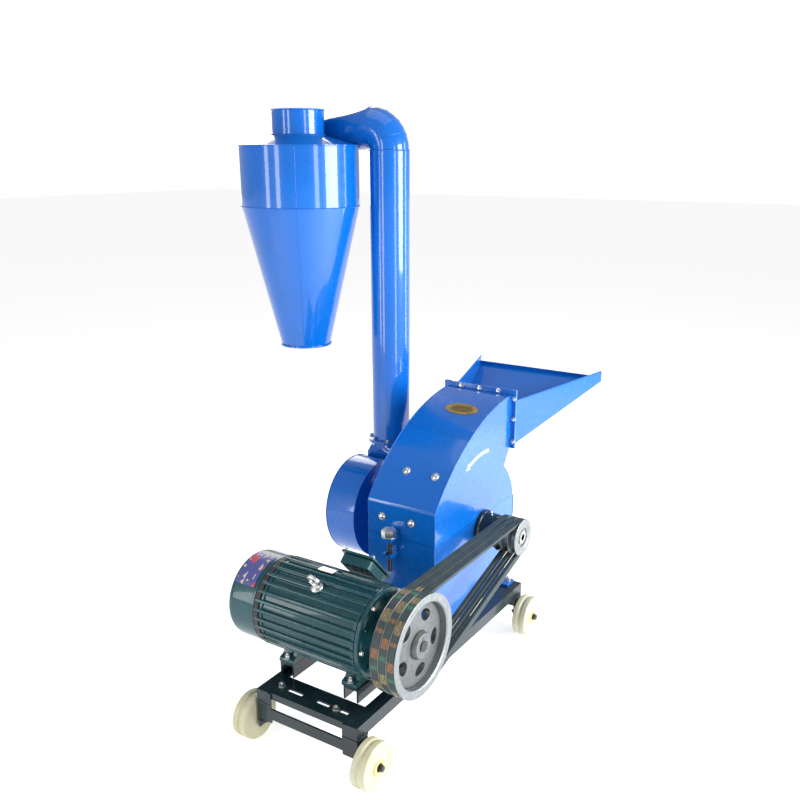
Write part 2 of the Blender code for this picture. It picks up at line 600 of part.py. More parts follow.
def build_hopper():
    """A flared tray: floor, two side panels and an end lip, on a flange round the throat."""
    start = THROAT_X + 8.5
    half = (MILL_FAR - MILL_NEAR) / 2
    tray = loft("feed_hopper", [hopper_ring(start, half + 4, MILL_MIDDLE, THROAT_BOTTOM, THROAT_TOP - 24),
                                hopper_ring(MOUTH_X, MOUTH_HALF_WIDTH, MOUTH_MIDDLE, MOUTH_FLOOR, MOUTH_TOP)])
    slope = (MOUTH_FLOOR - THROAT_BOTTOM) / (MOUTH_X - start)
    inner_end = MOUTH_X - 3
    hollow = loft("hollow", [
        hopper_ring(start - 20, half + 1 - 6.5, MILL_MIDDLE, THROAT_BOTTOM + 3 - 20 * slope, 1000),
        hopper_ring(inner_end, MOUTH_HALF_WIDTH - 3, MOUTH_MIDDLE, MOUTH_FLOOR + 3, 1000)])
    cut(tray, hollow, box("lip_trim", (inner_end - 1, MOUTH_MIDDLE - MOUTH_HALF_WIDTH + 3, MOUTH_FLOOR + 17),
                          (MOUTH_X + 10, MOUTH_MIDDLE + MOUTH_HALF_WIDTH - 3, 1000)))
    flange = box("flange", (THROAT_X + 4 + GAP, MILL_NEAR - 16, THROAT_BOTTOM - 6),
                 (start + 3, MILL_FAR + 16, THROAT_TOP + 20))
    cut(flange, box("opening", (start - 20, MILL_NEAR + 6, THROAT_BOTTOM + 8), (start + 20, MILL_FAR - 6, 1000)),
        box("gate_slot", (THROAT_X, MILL_NEAR + 3, THROAT_BOTTOM + 4), (start, MILL_FAR - 3, 1000)))
    join(tray, flange)
    finish(tray, "blue_paint", BLUE)
    x = THROAT_X + 4 + GAP + 0.3
    gate = box("feed_gate", (x, MILL_NEAR + 3.5, THROAT_BOTTOM + 5), (x + 3, MILL_FAR - 3.5, THROAT_TOP + 14))
    join(gate, box("grip", (x, -60, THROAT_TOP + 11), (x + 16, 80, THROAT_TOP + 14)))
    finish(gate, "blue_paint", BLUE, (x, 0, THROAT_TOP))


# ---------------------------------------------------------------- blower, pipe and cyclone

def volute_outline():
    """A scroll that widens from the tongue round to the outlet's far wall, then runs up the outlet."""
    points = []
    for step in range(21):
        part = step / 20
        turn = math.radians(VOLUTE_START + (360 - VOLUTE_START) * part)
        radius = VOLUTE_START_RADIUS + (VOLUTE_END_RADIUS - VOLUTE_START_RADIUS) * part
        points.append((ROTOR_X + radius * math.cos(turn), ROTOR_Z + radius * math.sin(turn)))
    return points + [(points[-1][0], OUTLET_Z), (points[0][0], OUTLET_Z)]


OUTLET_Z = 604


def neck_rings(wall, extra):
    """Rings that change the blower's rectangular outlet into the round pipe."""
    outline = volute_outline()
    left, right = outline[0][0] + wall + 0.5, outline[-3][0] - wall - 0.5
    low, high = FAN_NEAR + wall + 0.5, FAN_FAR - wall - 0.5
    radius = PIPE_RADIUS - wall
    square, ring = [], []
    for u, v in circle((0, 0), 1, 24, 7.5):
        reach = max(abs(u), abs(v))
        square.append(((left + right) / 2 + (right - left) / 2 * u / reach, (low + high) / 2 + (high - low) / 2 * v / reach))
        ring.append((PIPE_X + radius * u, PIPE_Y + radius * v))
    bottom = [(x, y, OUTLET_Z - 8) for x, y in square]
    top = [(x, y, NECK_TOP) for x, y in ring]
    if extra:
        return [[(x, y, OUTLET_Z - 20) for x, y in square], bottom, top, [(x, y, NECK_TOP + 10) for x, y in ring]]
    return [bottom, top]


def build_blower():
    casing = prism("fan_casing", volute_outline(), "y", FAN_NEAR, FAN_FAR)
    join(casing, loft("neck", neck_rings(0, False)),
         rod("flange", "z", (PIPE_X, PIPE_Y), PIPE_RADIUS + 17, NECK_TOP - 5, NECK_TOP, 20))
    cut(casing, prism("hollow", inset(volute_outline(), FAN_SHEET), "y", FAN_NEAR + FAN_SHEET, FAN_FAR - FAN_SHEET),
        loft("neck_hollow", neck_rings(FAN_SHEET, True)),
        rod("inlet_eye", "y", (ROTOR_X, ROTOR_Z), 78, FAN_NEAR - 10, FAN_NEAR + 10, 16))
    finish(casing, "blue_paint", BLUE)
    axis, centre = (ROTOR_X, ROTOR_Z), (ROTOR_X, 0, ROTOR_Z)
    bore = ROTOR_SHAFT_RADIUS - 3 + 0.2
    hub = turned("fan_impeller", [(bore, 300), (36, 300), (36, 380), (132, 380), (132, 384), (bore, 384)], "y", axis, 18)
    for blade in range(6):
        turn = 2 * math.pi * blade / 6
        corners = [(ROTOR_X + along * math.cos(turn) - across * math.sin(turn),
                    ROTOR_Z + along * math.sin(turn) + across * math.cos(turn))
                   for along, across in ((33, -2), (138, -2), (138, 2), (33, 2))]
        join(hub, prism("blade", corners, "y", 308, 382))
    finish(hub, "bright_steel", STEEL, centre)
    build_suction_duct()


def build_suction_duct():
    """From the outlet under the screen, outwards past the bearing and up to the blower's inlet."""
    low_y, turn_y, high_y = MILL_FAR + GAP, 206, FAN_NEAR - GAP
    x0, x1 = ROTOR_X - 68, ROTOR_X + 68
    outer = [(low_y, 190), (high_y, 190), (high_y, 534), (turn_y, 534), (turn_y, 268), (low_y, 268)]
    inner = [(low_y - 10, 194), (high_y - 4, 194), (high_y - 4, 530), (turn_y + 4, 530), (turn_y + 4, 264),
             (low_y - 10, 264)]
    duct = prism("suction_duct", outer, "x", x0, x1)
    cut(duct, prism("hollow", inner, "x", x0 + 4, x1 - 4),
        rod("eye", "y", (ROTOR_X, ROTOR_Z), 60, high_y - 10, high_y + 10, 16),
        rod("shaft_hole", "y", (ROTOR_X, ROTOR_Z), ROTOR_SHAFT_RADIUS + 2, turn_y - 10, turn_y + 10, 16))
    finish(duct, "blue_paint", BLUE)


def elbow_rings(radius, drop, end_rings):
    """Rings on the mitre planes of a three-piece bend from upright to level, then the duct's own rings."""
    steps = circle((0, 0), 1, 24, 7.5)
    rings = [[(PIPE_X + radius * u, PIPE_Y + radius * v, PIPE_TOP + GAP - drop) for u, v in steps]]
    for turn, reach in ((22.5, MITRE_REACH), (67.5, MITRE_REACH), (90, 1)):
        tilt = math.radians(turn)
        middle_y = PIPE_Y + ELBOW_BEND * (1 - reach * math.cos(tilt))
        middle_z = PIPE_TOP + ELBOW_BEND * reach * math.sin(tilt)
        rings.append([(PIPE_X + radius * u, middle_y + radius * v * reach * math.cos(tilt),
                       middle_z - radius * v * reach * math.sin(tilt)) for u, v in steps])
    return rings + end_rings


MITRE_REACH = 1 / math.cos(math.radians(22.5))


def duct_ring(y, wall, low, high):
    """A rectangular ring, with its points shared out as a circle's are."""
    ring = []
    for u, v in circle((0, 0), 1, 24, 7.5):
        reach = max(abs(u), abs(v))
        ring.append((PIPE_X + (DUCT_WIDTH / 2 - wall) * u / reach, y,
                     (low + high) / 2 - ((high - low) / 2 - wall) * v / reach))
    return ring


def cyclone_envelope(name, extra):
    r, axis = CYCLONE_RADIUS + extra, (CYCLONE_X, CYCLONE_Y)
    profile = [(0, CYCLONE_WAIST), (r, CYCLONE_WAIST), (r, CYCLONE_RIM + extra), (EXHAUST_RADIUS, LID_TOP + extra),
               (0, LID_TOP + extra)]
    return turned(name, profile, "z", axis, 28)


def inlet_solid(name, wall, extra):
    end = DUCT_END - wall
    rings = [duct_ring(PIPE_Y + ELBOW_BEND + 80, wall, DUCT_FLOOR, DUCT_TOP), duct_ring(end - 40, wall, DUCT_FLOOR, DUCT_TOP),
             duct_ring(end, wall, DUCT_FLOOR, DUCT_TOP - 50)]
    return loft(name, elbow_rings(PIPE_RADIUS - wall, extra, rings))


def build_delivery():
    centre = (PIPE_X, PIPE_Y)
    r, sheet = PIPE_RADIUS, PIPE_SHEET
    low = NECK_TOP + GAP
    profile = [(r - sheet, low), (r + 17, low), (r + 17, low + 5), (r, low + 5), (r, PIPE_TOP), (r - sheet, PIPE_TOP)]
    finish(turned("delivery_pipe", profile, "z", centre, 20), "blue_paint", BLUE)
    duct = inlet_solid("inlet_duct", 0, 0)
    cut(duct, cyclone_envelope("cyclone_room", GAP), inlet_solid("hollow", sheet, 20))
    finish(duct, "blue_paint", BLUE)


def build_cyclone():
    axis, r, t = (CYCLONE_X, CYCLONE_Y), CYCLONE_RADIUS, 3
    body = turned("cyclone_body", [(r, CYCLONE_WAIST), (r, CYCLONE_RIM - t - GAP), (r - t, CYCLONE_RIM - t - GAP),
                                   (r - t, CYCLONE_WAIST)], "z", axis, 28)
    finish(cut(body, inlet_solid("inlet", PIPE_SHEET, 0)), "blue_paint", BLUE)
    stub = EXHAUST_RADIUS + GAP
    lid = turned("cyclone_lid", [(stub, LID_TOP - t), (r, CYCLONE_RIM - t), (r, CYCLONE_RIM), (stub, LID_TOP)], "z", axis, 28)
    finish(cut(lid, inlet_solid("inlet", PIPE_SHEET, 0)), "blue_paint", BLUE)
    e = EXHAUST_RADIUS
    profile = [(e - t, CYCLONE_WAIST + 20), (e, CYCLONE_WAIST + 20), (e, EXHAUST_TOP - 6), (e + 3, EXHAUST_TOP - 6),
               (e + 3, EXHAUST_TOP), (e - t, EXHAUST_TOP)]
    finish(turned("cyclone_exhaust", profile, "z", axis, 28), "blue_paint", BLUE)
    o, top = OUTLET_RADIUS, CYCLONE_WAIST - GAP
    profile = [(o, CYCLONE_OUTLET + 7), (r, top), (r - t, top), (o - t, CYCLONE_OUTLET + 7), (o - t, CYCLONE_OUTLET),
               (o + 4, CYCLONE_OUTLET), (o + 4, CYCLONE_OUTLET + 7)]
    finish(turned("cyclone_cone", profile, "z", axis, 28), "blue_paint", BLUE)


# ---------------------------------------------------------------- model

def centre_model():
    """Puts the middle of the model's footprint at the origin, with the wheels on the ground."""
    bpy.context.view_layer.update()
    corners = [part.matrix_world @ Vector(corner) for part in MODEL.children for corner in part.bound_box]
    low = Vector([min(corner[i] for corner in corners) for i in range(3)])
    high = Vector([max(corner[i] for corner in corners) for i in range(3)])
    MODEL.location = (-(low.x + high.x) / 2, -(low.y + high.y) / 2, -low.z)


for leftover in list(bpy.data.objects):
    bpy.data.objects.remove(leftover)
MODEL = bpy.data.objects.new("hammer_mill", None)
bpy.context.scene.collection.objects.link(MODEL)

build_frame()
build_motor()
build_belts()
build_lower_housing()
build_cover()
build_screen()
build_rotor()
build_bearings()
build_hopper()
build_blower()
build_delivery()
build_cyclone()
centre_model()
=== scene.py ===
"""Looks of a wheeled hammer mill with a blower and a cyclone.

Lengths are millimetres in the machine's own frame: X from the motor's end of the chassis to the hopper, Y from
the belts (negative) to the blower, Z up from the ground. place() turns them into metres beside the solid model.
"""

import math

import bmesh
import bpy
import numpy as np
from bpy.props import FloatProperty, FloatVectorProperty, IntProperty, PointerProperty
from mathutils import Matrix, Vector


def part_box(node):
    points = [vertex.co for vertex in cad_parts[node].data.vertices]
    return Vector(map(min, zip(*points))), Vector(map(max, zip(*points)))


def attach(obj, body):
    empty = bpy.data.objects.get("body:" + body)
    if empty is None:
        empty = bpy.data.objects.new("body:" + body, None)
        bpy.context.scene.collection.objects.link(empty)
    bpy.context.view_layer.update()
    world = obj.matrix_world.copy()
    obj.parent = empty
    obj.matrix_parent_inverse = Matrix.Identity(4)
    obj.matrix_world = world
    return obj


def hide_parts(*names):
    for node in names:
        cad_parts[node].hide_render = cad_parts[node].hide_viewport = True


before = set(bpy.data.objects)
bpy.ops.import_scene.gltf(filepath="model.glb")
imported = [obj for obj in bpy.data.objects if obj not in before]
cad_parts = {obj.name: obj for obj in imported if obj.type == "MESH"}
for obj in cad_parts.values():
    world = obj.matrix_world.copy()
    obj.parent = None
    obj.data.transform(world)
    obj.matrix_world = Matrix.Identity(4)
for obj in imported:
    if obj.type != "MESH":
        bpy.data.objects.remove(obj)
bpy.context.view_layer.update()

bl_info = {
    "name": "Hammer Mill",
    "version": (1, 0, 0),
    "blender": (4, 5, 0),
    "location": "View3D > Sidebar > Hammer Mill",
    "description": "Builds the painted, cast and bare-metal pieces of a belt-driven hammer mill with a cyclone",
    "category": "Object",
}

NEAR_SIDE, FAR_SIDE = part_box("frame_side_near"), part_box("frame_side_far")
MACHINE_ORIGIN = np.array([NEAR_SIDE[0].x, (NEAR_SIDE[0].y + FAR_SIDE[1].y) / 2, 0.0])


def span(node):
    """Lowest and highest corners of a solid, in the machine's millimetres."""
    return [(np.array(corner) - MACHINE_ORIGIN) * 1000 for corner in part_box(node)]


def middle(node):
    low, high = span(node)
    return (low + high) / 2


# Axes that the solids give: (x, z) of the two shafts, (x, y) of the upright pieces
MOTOR_AXIS = middle("motor_pulley")[[0, 2]]
ROTOR_AXIS = middle("rotor_pulley")[[0, 2]]
CYCLONE_AXIS = middle("cyclone_body")[:2]
PIPE_AXIS = middle("delivery_pipe")[:2]

# Weld beads swell by this part of their size, once in this length
RIPPLE, RIPPLE_LENGTH = 0.22, 7.0
# Fastener proportions: head height and washer over the head's own size
HEAD_HEIGHT, WASHER_REACH, WASHER_THICKNESS, CAP_RISE = 0.62, 1.32, 2.0, 0.62
# Edges that bend more than this stay sharp, in degrees
SHARP_FROM, BEVEL_FROM = 32.0, 40.0
DOUBLES_WITHIN = 2e-6


# ---------------------------------------------------------------- grids and profiles

def grid_faces(rows, columns, close_rows=False, close_columns=True):
    """Quads of a rows by columns grid of points, joined end to end in the directions that close."""
    r = np.arange(rows if close_rows else rows - 1)[:, None]
    c = np.arange(columns if close_columns else columns - 1)[None]
    down, across = (r + 1) % rows, (c + 1) % columns
    corners = [r * columns + c, r * columns + across, down * columns + across, down * columns + c]
    return np.stack(np.broadcast_arrays(*corners), -1).reshape(-1, 4).tolist()


def eased(points, radius, steps=4, closed=True):
    """Corners of a line rounded: each becomes a parabola between the points that lie radius before and after it.

    (1-t)^2 A + 2t(1-t) P + t^2 B, where P is the corner and A and B are at most 45% along its two sides.
    """
    p = np.asarray(points, float)
    reach = np.broadcast_to(np.asarray(radius, float), (len(p),))[:, None]
    ends = []
    for side in (np.roll(p, 1, 0) - p, np.roll(p, -1, 0) - p):
        length = np.linalg.norm(side, axis=1, keepdims=True)
        ends.append(p + side / np.maximum(length, 1e-9) * np.minimum(reach, 0.45 * length))
    t = np.linspace(0, 1, steps)[None, :, None]
    curve = (1 - t) ** 2 * ends[0][:, None] + 2 * t * (1 - t) * p[:, None] + t ** 2 * ends[1][:, None]
    if closed:
        return curve.reshape(-1, p.shape[1])
    return np.concatenate([p[:1], curve[1:-1].reshape(-1, p.shape[1]), p[-1:]])


def circle(steps):
    """Evenly spaced angles of a full circle, in radians, without the last one again."""
    return np.linspace(0, 2 * np.pi, steps, endpoint=False)


def arc(centre, radius, start, stop, steps):
    """Points of a circle about centre from start to stop, in degrees."""
    turn = np.radians(np.linspace(start, stop, steps))
    return np.stack([centre[0] + radius * np.cos(turn), centre[1] + radius * np.sin(turn)], -1)


def spread(centre, radius, count, start=0.0):
    """Evenly spaced places on a circle, the first at an angle in degrees."""
    turn = np.radians(start + 360 / count * np.arange(count))
    return np.stack([centre[0] + radius * np.cos(turn), centre[1] + radius * np.sin(turn)], -1)


def on_axis(axis, along, u, v):
    """Points from their place along an axis and their two coordinates across it."""
    order = {"x": (along, u, v), "y": (u, along, v), "z": (u, v, along)}[axis]
    return np.stack(np.broadcast_arrays(*order), -1)


def lathe(profile, axis, centre, steps=96, closed=True):
    """A profile of (radius, along) turned once: centre + radius (cos a, sin a), and its own place on the axis."""
    profile = np.asarray(profile, float)
    turn = circle(steps)[None]
    radius, along = profile[:, :1], profile[:, 1:]
    points = on_axis(axis, along, centre[0] + radius * np.cos(turn), centre[1] + radius * np.sin(turn))
    return points.reshape(-1, 3), grid_faces(len(profile), steps, closed, True)


def turning(profile, easing, axis, centre, steps):
    """A solid turned piece: a profile that starts and ends on the axis, with its corners eased."""
    return lathe(eased(profile, easing, 3, False), axis, centre, steps, False)


def collar(inner, outer, low, high, easing, axis, centre, steps, corner_steps=4):
    """A turned ring of rectangular section with eased corners."""
    section = [(inner, low), (outer, low), (outer, high), (inner, high)]
    return lathe(eased(section, easing, corner_steps), axis, centre, steps)


def slab(outline, axis, low, high):
    """A flat plate: an outline at two places along an axis, with its two faces filled."""
    outline = np.asarray(outline, float)
    count = len(outline)
    points = np.concatenate([on_axis(axis, along, outline[:, 0], outline[:, 1]) for along in (low, high)])
    return points, grid_faces(2, count) + [list(range(count)), list(range(count, 2 * count))]


def block(low, high):
    """A box between two corners."""
    outline = [(low[0], low[1]), (high[0], low[1]), (high[0], high[1]), (low[0], high[1])]
    return slab(outline, "z", low[2], high[2])


def stack(rings, closed=False):
    """A skin through rings of equal point counts, with flat ends unless it closes on itself."""
    rings = np.asarray(rings, float)
    rows, count = rings.shape[:2]
    faces = grid_faces(rows, count, closed, True)
    if not closed:
        faces += [list(range(count)), list(range((rows - 1) * count, rows * count))]
    return rings.reshape(-1, 3), faces


def carried(section, path, closed=False, up=(0, 0, 1)):
    """A section of (side, rise) points carried along a path: side is square to the path and up, rise to both."""
    path, section = np.asarray(path, float), np.asarray(section, float)
    ahead = np.roll(path, -1, 0) - np.roll(path, 1, 0) if closed else np.gradient(path, axis=0)
    ahead /= np.linalg.norm(ahead, axis=1, keepdims=True)
    side = np.cross(ahead, np.asarray(up, float))
    side /= np.linalg.norm(side, axis=1, keepdims=True)
    rise = np.cross(side, ahead)
    rings = path[:, None] + side[:, None] * section[None, :, :1] + rise[:, None] * section[None, :, 1:]
    return stack(rings, closed)


def ring_section(radius, steps=8):
    """Points of a circle about nothing: the section of a rod."""
    return np.stack([radius * np.cos(circle(steps)), radius * np.sin(circle(steps))], -1)


def lengths(path):
    """How far each point of a path lies from its start, measured along it."""
    return np.concatenate([[0], np.cumsum(np.linalg.norm(np.diff(path, axis=0), axis=1))])


def bead(path, radius, closed=False, up=(0, 0, 1)):
    """A weld run: a round section carried along a path, times 1 + ripple sin(2 pi length / ripple length)."""
    path = np.asarray(path, float)
    points, faces = carried(ring_section(radius), path, closed, up)
    rings = points.reshape(len(path), -1, 3)
    swell = 1 + RIPPLE * np.sin(lengths(path) * 2 * np.pi / RIPPLE_LENGTH)[:, None, None]
    return (path[:, None] + (rings - path[:, None]) * swell).reshape(-1, 3), faces


def line(start, stop, pitch=1.4):
    """Evenly spaced points on a straight line."""
    start, stop = np.asarray(start, float), np.asarray(stop, float)
    count = max(2, int(np.linalg.norm(stop - start) / pitch))
    return start + (stop - start) * np.linspace(0, 1, count)[:, None]


def hoop(along, centre, radius, steps=400):
    """Points of a level circle."""
    turn = circle(steps)
    return on_axis("z", along, centre[0] + radius * np.cos(turn), centre[1] + radius * np.sin(turn))


def turned_to(part, direction, spot):
    """A part made about +Z moved so that +Z points along direction, standing on a spot."""
    spin = np.array(Vector((0, 0, 1)).rotation_difference(Vector(direction)).to_matrix())
    points, faces = part
    return points @ spin.T + np.asarray(spot, float), faces


def together(*parts):
    """One part from several: their points follow one another and their faces are counted on."""
    points, faces, count = [], [], 0
    for more_points, more_faces in parts:
        points.append(more_points)
        faces += [[i + count for i in face] for face in more_faces]
        count += len(more_points)
    return np.concatenate(points), faces


def hex_bolt(width, washer=True, shank=0.0):
    """A hexagon head with a chamfered crown, on a washer, about +Z: the head is a lathe with six steps."""
    r, h = width / 2 / math.cos(math.radians(30)), width * HEAD_HEIGHT
    seat = WASHER_THICKNESS if washer else 0.0
    top = seat + h
    head = [(0, seat), (r, seat), (r, top - 1.2), (r - 1.6, top), (0, top)]
    parts = [lathe(head, "z", (0, 0), 6, False)]
    if washer:
        parts.append(collar(1, r * WASHER_REACH, 0, WASHER_THICKNESS, 0.5, "z", (0, 0), 28))
    if shank:
        thick, end = width * 0.27, top + shank
        stud = [(0, top - 2), (thick, top - 2), (thick, end - 1), (width * 0.2, end), (0, end)]
        parts.append(lathe(stud, "z", (0, 0), 18, False))
    return together(*parts)


def dome_bolt(radius, rim=1.8):
    """A round head: a washer ring and a cap whose height falls off as a quarter ellipse."""
    turn = np.linspace(0, np.pi / 2, 8)
    cap = np.stack([radius * np.cos(turn), rim + radius * CAP_RISE * np.sin(turn)], -1)
    profile = np.concatenate([[(0, 0), (radius * 1.25, 0), (radius * 1.25, rim)], cap])
    profile[-1, 0] = 0
    return lathe(profile, "z", (0, 0), 28, False)


def bolt_ring(bolt, axis, facing, along, centre, radius, count, start=0.0):
    """Copies of a bolt on a circle about an axis, all facing one way along it: facing is 1 or -1."""
    spots = on_axis(axis, along, *spread(centre, radius, count, start).T)
    return [turned_to(bolt, facing * on_axis(axis, 1.0, 0.0, 0.0), spot) for spot in spots]


def spokes(centre, count, start, inner, outer, half, low, high):
    """Flat bars pointing out from a shaft: evenly spread rectangles in X and Z, drawn from low to high in Y."""
    bars = []
    for out in spread((0, 0), 1.0, count, start):
        across = half * np.array([-out[1], out[0]])
        corners = [inner * out - across, outer * out - across, outer * out + across, inner * out + across]
        bars.append(slab(centre + np.array(corners), "y", low, high))
    return bars


def wrapped_plate(angle, half_angle, count, inner, outer, low, high):
    """A plate bent round the motor: the space between two arcs about its shaft."""
    rims = [arc(MOTOR_AXIS, radius, angle - half_angle, angle + half_angle, count) for radius in (inner, outer)]
    return slab(np.concatenate([rims[0], rims[1][::-1]]), "y", low, high)


def side_seam(outline, y, radius):
    """A weld along an outline in X and Z at one Y, whose points are close enough for its ripples."""
    curve = on_axis("y", y, outline[:, 0], outline[:, 1])
    steps = [line(a, b)[:-1] for a, b in zip(curve[:-1], curve[1:]) if np.linalg.norm(a - b) > 0.5]
    return bead(np.concatenate(steps), radius, up=(0, 1, 0))


def strip(path, thickness, low, high):
    """A bent sheet: a path in X and Z offset inwards by its thickness, and drawn out from low to high in Y."""
    path = np.asarray(path, float)
    ahead = np.gradient(path, axis=0)
    ahead /= np.linalg.norm(ahead, axis=1, keepdims=True)
    inward = np.stack([-ahead[:, 1], ahead[:, 0]], -1)
    return slab(np.concatenate([path, (path + inward * thickness)[::-1]]), "y", low, high)


# ---------------------------------------------------------------- pieces in the scene


def place(points):
    """Metres beside the solid model from the machine's millimetres."""
    return np.asarray(points, float) / 1000 + MACHINE_ORIGIN


def mesh_object(name, part, wrap=None):
    """An object from a part, with merged doubles and faces outwards. wrap gives each point its (u, v)."""
    points, faces = part
    mesh = bpy.data.meshes.new(name)
    mesh.from_pydata(place(points).tolist(), [], faces)
    if wrap is not None:
        layer = mesh.uv_layers.new(name="wrap")
        corner = np.empty(len(mesh.loops), np.int32)
        mesh.loops.foreach_get("vertex_index", corner)
        layer.data.foreach_set("uv", np.asarray(wrap, np.float32)[corner].ravel())
    edit = bmesh.new()
    edit.from_mesh(mesh)
    bmesh.ops.remove_doubles(edit, verts=edit.verts, dist=DOUBLES_WITHIN)
    bmesh.ops.recalc_face_normals(edit, faces=edit.faces)
    edit.to_mesh(mesh)
    edit.free()
    made = bpy.data.objects.new(name, mesh)
    bpy.context.scene.collection.objects.link(made)
    return made


def piece(name, part, look, body="machine", replaces=None, bevel=0.0, angle=SHARP_FROM, wrap=None):
    """A finished piece from a part: its look, the body it rides on, and the solid that it stands for."""
    made = mesh_object(name, part, wrap)
    made.data.shade_smooth()
    made.data.set_sharp_from_angle(angle=math.radians(angle))
    made.data.materials.append(looks()[look])
    if bevel:
        step = made.modifiers.new("Softened edges", "BEVEL")
        step.width, step.segments, step.limit_method = bevel / 1000, 2, "ANGLE"
        step.angle_limit = math.radians(BEVEL_FROM)
        step.harden_normals = True
    made.modifiers.new("Even normals", "WEIGHTED_NORMAL").keep_sharp = True
    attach(made, body)
    if replaces:
        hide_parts(replaces)
    return made


def carve(made, *cutters):
    """Cuts parts out of a finished piece and applies the result."""
    for part in cutters:
        tool = mesh_object("cutter", part)
        step = made.modifiers.new("Cut", "BOOLEAN")
        step.object, step.operation, step.solver = tool, "DIFFERENCE", "EXACT"
        bpy.context.view_layer.update()
        result = bpy.data.meshes.new_from_object(made.evaluated_get(bpy.context.evaluated_depsgraph_get()))
        if not result.polygons:
            raise RuntimeError(f"{made.name}: the cut left nothing")
        made.modifiers.remove(step)
        made.data = result
        bpy.data.objects.remove(tool)
    made.data.shade_smooth()
    made.data.set_sharp_from_angle(angle=math.radians(SHARP_FROM))


def repaint(look, *nodes):
    """Gives carried-over solids a better material."""
    for node in nodes:
        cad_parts[node].material_slots[0].material = looks()[look]


# ---------------------------------------------------------------- materials

class Tree:
    """Short ways to add and join nodes of one tree."""

    def __init__(self, tree):
        self.tree = tree

    def feed(self, socket, value):
        if isinstance(value, bpy.types.NodeSocket):
            self.tree.links.new(value, socket)
        else:
            socket.default_value = value

    def add(self, kind, inputs, **settings):
        node = self.tree.nodes.new(kind)
        for name, value in settings.items():
            setattr(node, name, value)
        for key, value in inputs.items():
            self.feed(node.inputs[key], value)
        return node

    def noise(self, where, scale, detail=4.0, rough=0.55):
        inputs = {"Vector": where, "Scale": scale, "Detail": detail, "Roughness": rough}
        return self.add("ShaderNodeTexNoise", inputs).outputs["Fac"]

    def span(self, value, low, high, to_low=0.0, to_high=1.0):
        inputs = {"Value": value, "From Min": low, "From Max": high, "To Min": to_low, "To Max": to_high}
        return self.add("ShaderNodeMapRange", inputs).outputs["Result"]

    def math(self, operation, first, second):
        return self.add("ShaderNodeMath", {0: first, 1: second}, operation=operation).outputs[0]

    def mix(self, factor, first, second):
        return self.add("ShaderNodeMix", {0: factor, 6: first, 7: second}, data_type="RGBA").outputs[2]

    def stretched(self, where, scale, turn=(0.0, 0.0, 0.0)):
        return self.add("ShaderNodeMapping", {"Vector": where, "Scale": scale, "Rotation": turn}).outputs[0]

    def parts_of(self, vector):
        return self.add("ShaderNodeSeparateXYZ", {"Vector": vector}).outputs

    def place(self):
        return self.add("ShaderNodeTexCoord", {}).outputs["Object"]

    def bump(self, height, strength, distance):
        inputs = {"Height": height, "Strength": strength, "Distance": distance}
        return self.add("ShaderNodeBump", inputs).outputs[0]


def effect(name, inputs, outputs):
    """Marks the maker of a shader group, which is built once: it gets the Tree and the group's inputs by name.

    Each input has a default: a number, a colour of four numbers, or a vector of three.
    """

    def keep(fill):
        def made():
            found = bpy.data.node_groups.get(name)
            if found:
                return found
            group = bpy.data.node_groups.new(name, "ShaderNodeTree")
            kinds = {3: "NodeSocketVector", 4: "NodeSocketColor"}
            for title, value in inputs.items():
                kind = kinds[len(value)] if isinstance(value, tuple) else "NodeSocketFloat"
                group.interface.new_socket(title, in_out="INPUT", socket_type=kind).default_value = value
            for title in outputs:
                kind = "NodeSocketColor" if title == "Colour" else "NodeSocketFloat"
                group.interface.new_socket(title, in_out="OUTPUT", socket_type=kind)
            entry, leave = group.nodes.new("NodeGroupInput"), group.nodes.new("NodeGroupOutput")
            for title, value in zip(outputs, fill(Tree(group), entry.outputs)):
                group.links.new(value, leave.inputs[title])
            return group

        return made

    return keep


def use(t, group, **inputs):
    """Places a shader group in a tree and gives its outputs."""
    return t.add("ShaderNodeGroup", inputs, node_tree=group()).outputs


@effect("Clouds", {"Place": (0.0, 0.0, 0.0), "Scale": 20.0, "Detail": 4.0, "Roughness": 0.55, "From": 0.3, "To": 0.7,
                   "Low": 0.0, "High": 1.0}, ("Value", "Noise"))
def clouds(t, given):
    """Soft patches: noise whose middle, between From and To, is spread from Low to High."""
    noise = t.noise(given["Place"], given["Scale"], given["Detail"], given["Roughness"])
    return t.span(noise, given["From"], given["To"], given["Low"], given["High"]), noise


@effect("Wear", {"Place": (0.0, 0.0, 0.0), "Amount": 0.3, "Scale": 30.0}, ("Chips", "Scratches"))
def wear(t, given):
    """Chips and scratches: fine noise sharpened to specks, and thin scratches from noise stretched along Z."""
    patch = t.noise(given["Place"], 5.0, 3.0)
    speck = t.noise(given["Place"], given["Scale"], 6.0, 0.7)
    raised = t.math("ADD", t.math("MULTIPLY", patch, 0.35), t.math("MULTIPLY", speck, 0.75))
    chips = t.math("GREATER_THAN", raised, t.span(given["Amount"], 0, 1, 0.98, 0.58))
    fine = t.noise(t.stretched(given["Place"], (190.0, 210.0, 9.0), (0.35, 0.2, 0.0)), 1.0, 2.0, 0.4)
    return chips, t.math("MULTIPLY", t.span(fine, 0.68, 0.76), t.span(patch, 0.45, 0.65))


@effect("Grime", {"Place": (0.0, 0.0, 0.0), "Amount": 0.3, "Height": 0.5}, ("Mask",))
def grime(t, given):
    """Dust that gathers low down and in patches: height over the ground times cloudy noise."""
    height = t.parts_of(given["Place"])["Z"]
    low = t.math("SUBTRACT", 1.0, t.math("DIVIDE", height, given["Height"]))
    low = t.add("ShaderNodeClamp", {"Value": low}).outputs[0]
    cloud = t.span(t.noise(given["Place"], 7.0, 6.0, 0.6), 0.38, 0.72)
    mask = t.math("ADD", t.math("MULTIPLY", low, cloud), t.math("MULTIPLY", cloud, 0.35))
    return (t.math("MULTIPLY", mask, given["Amount"]),)


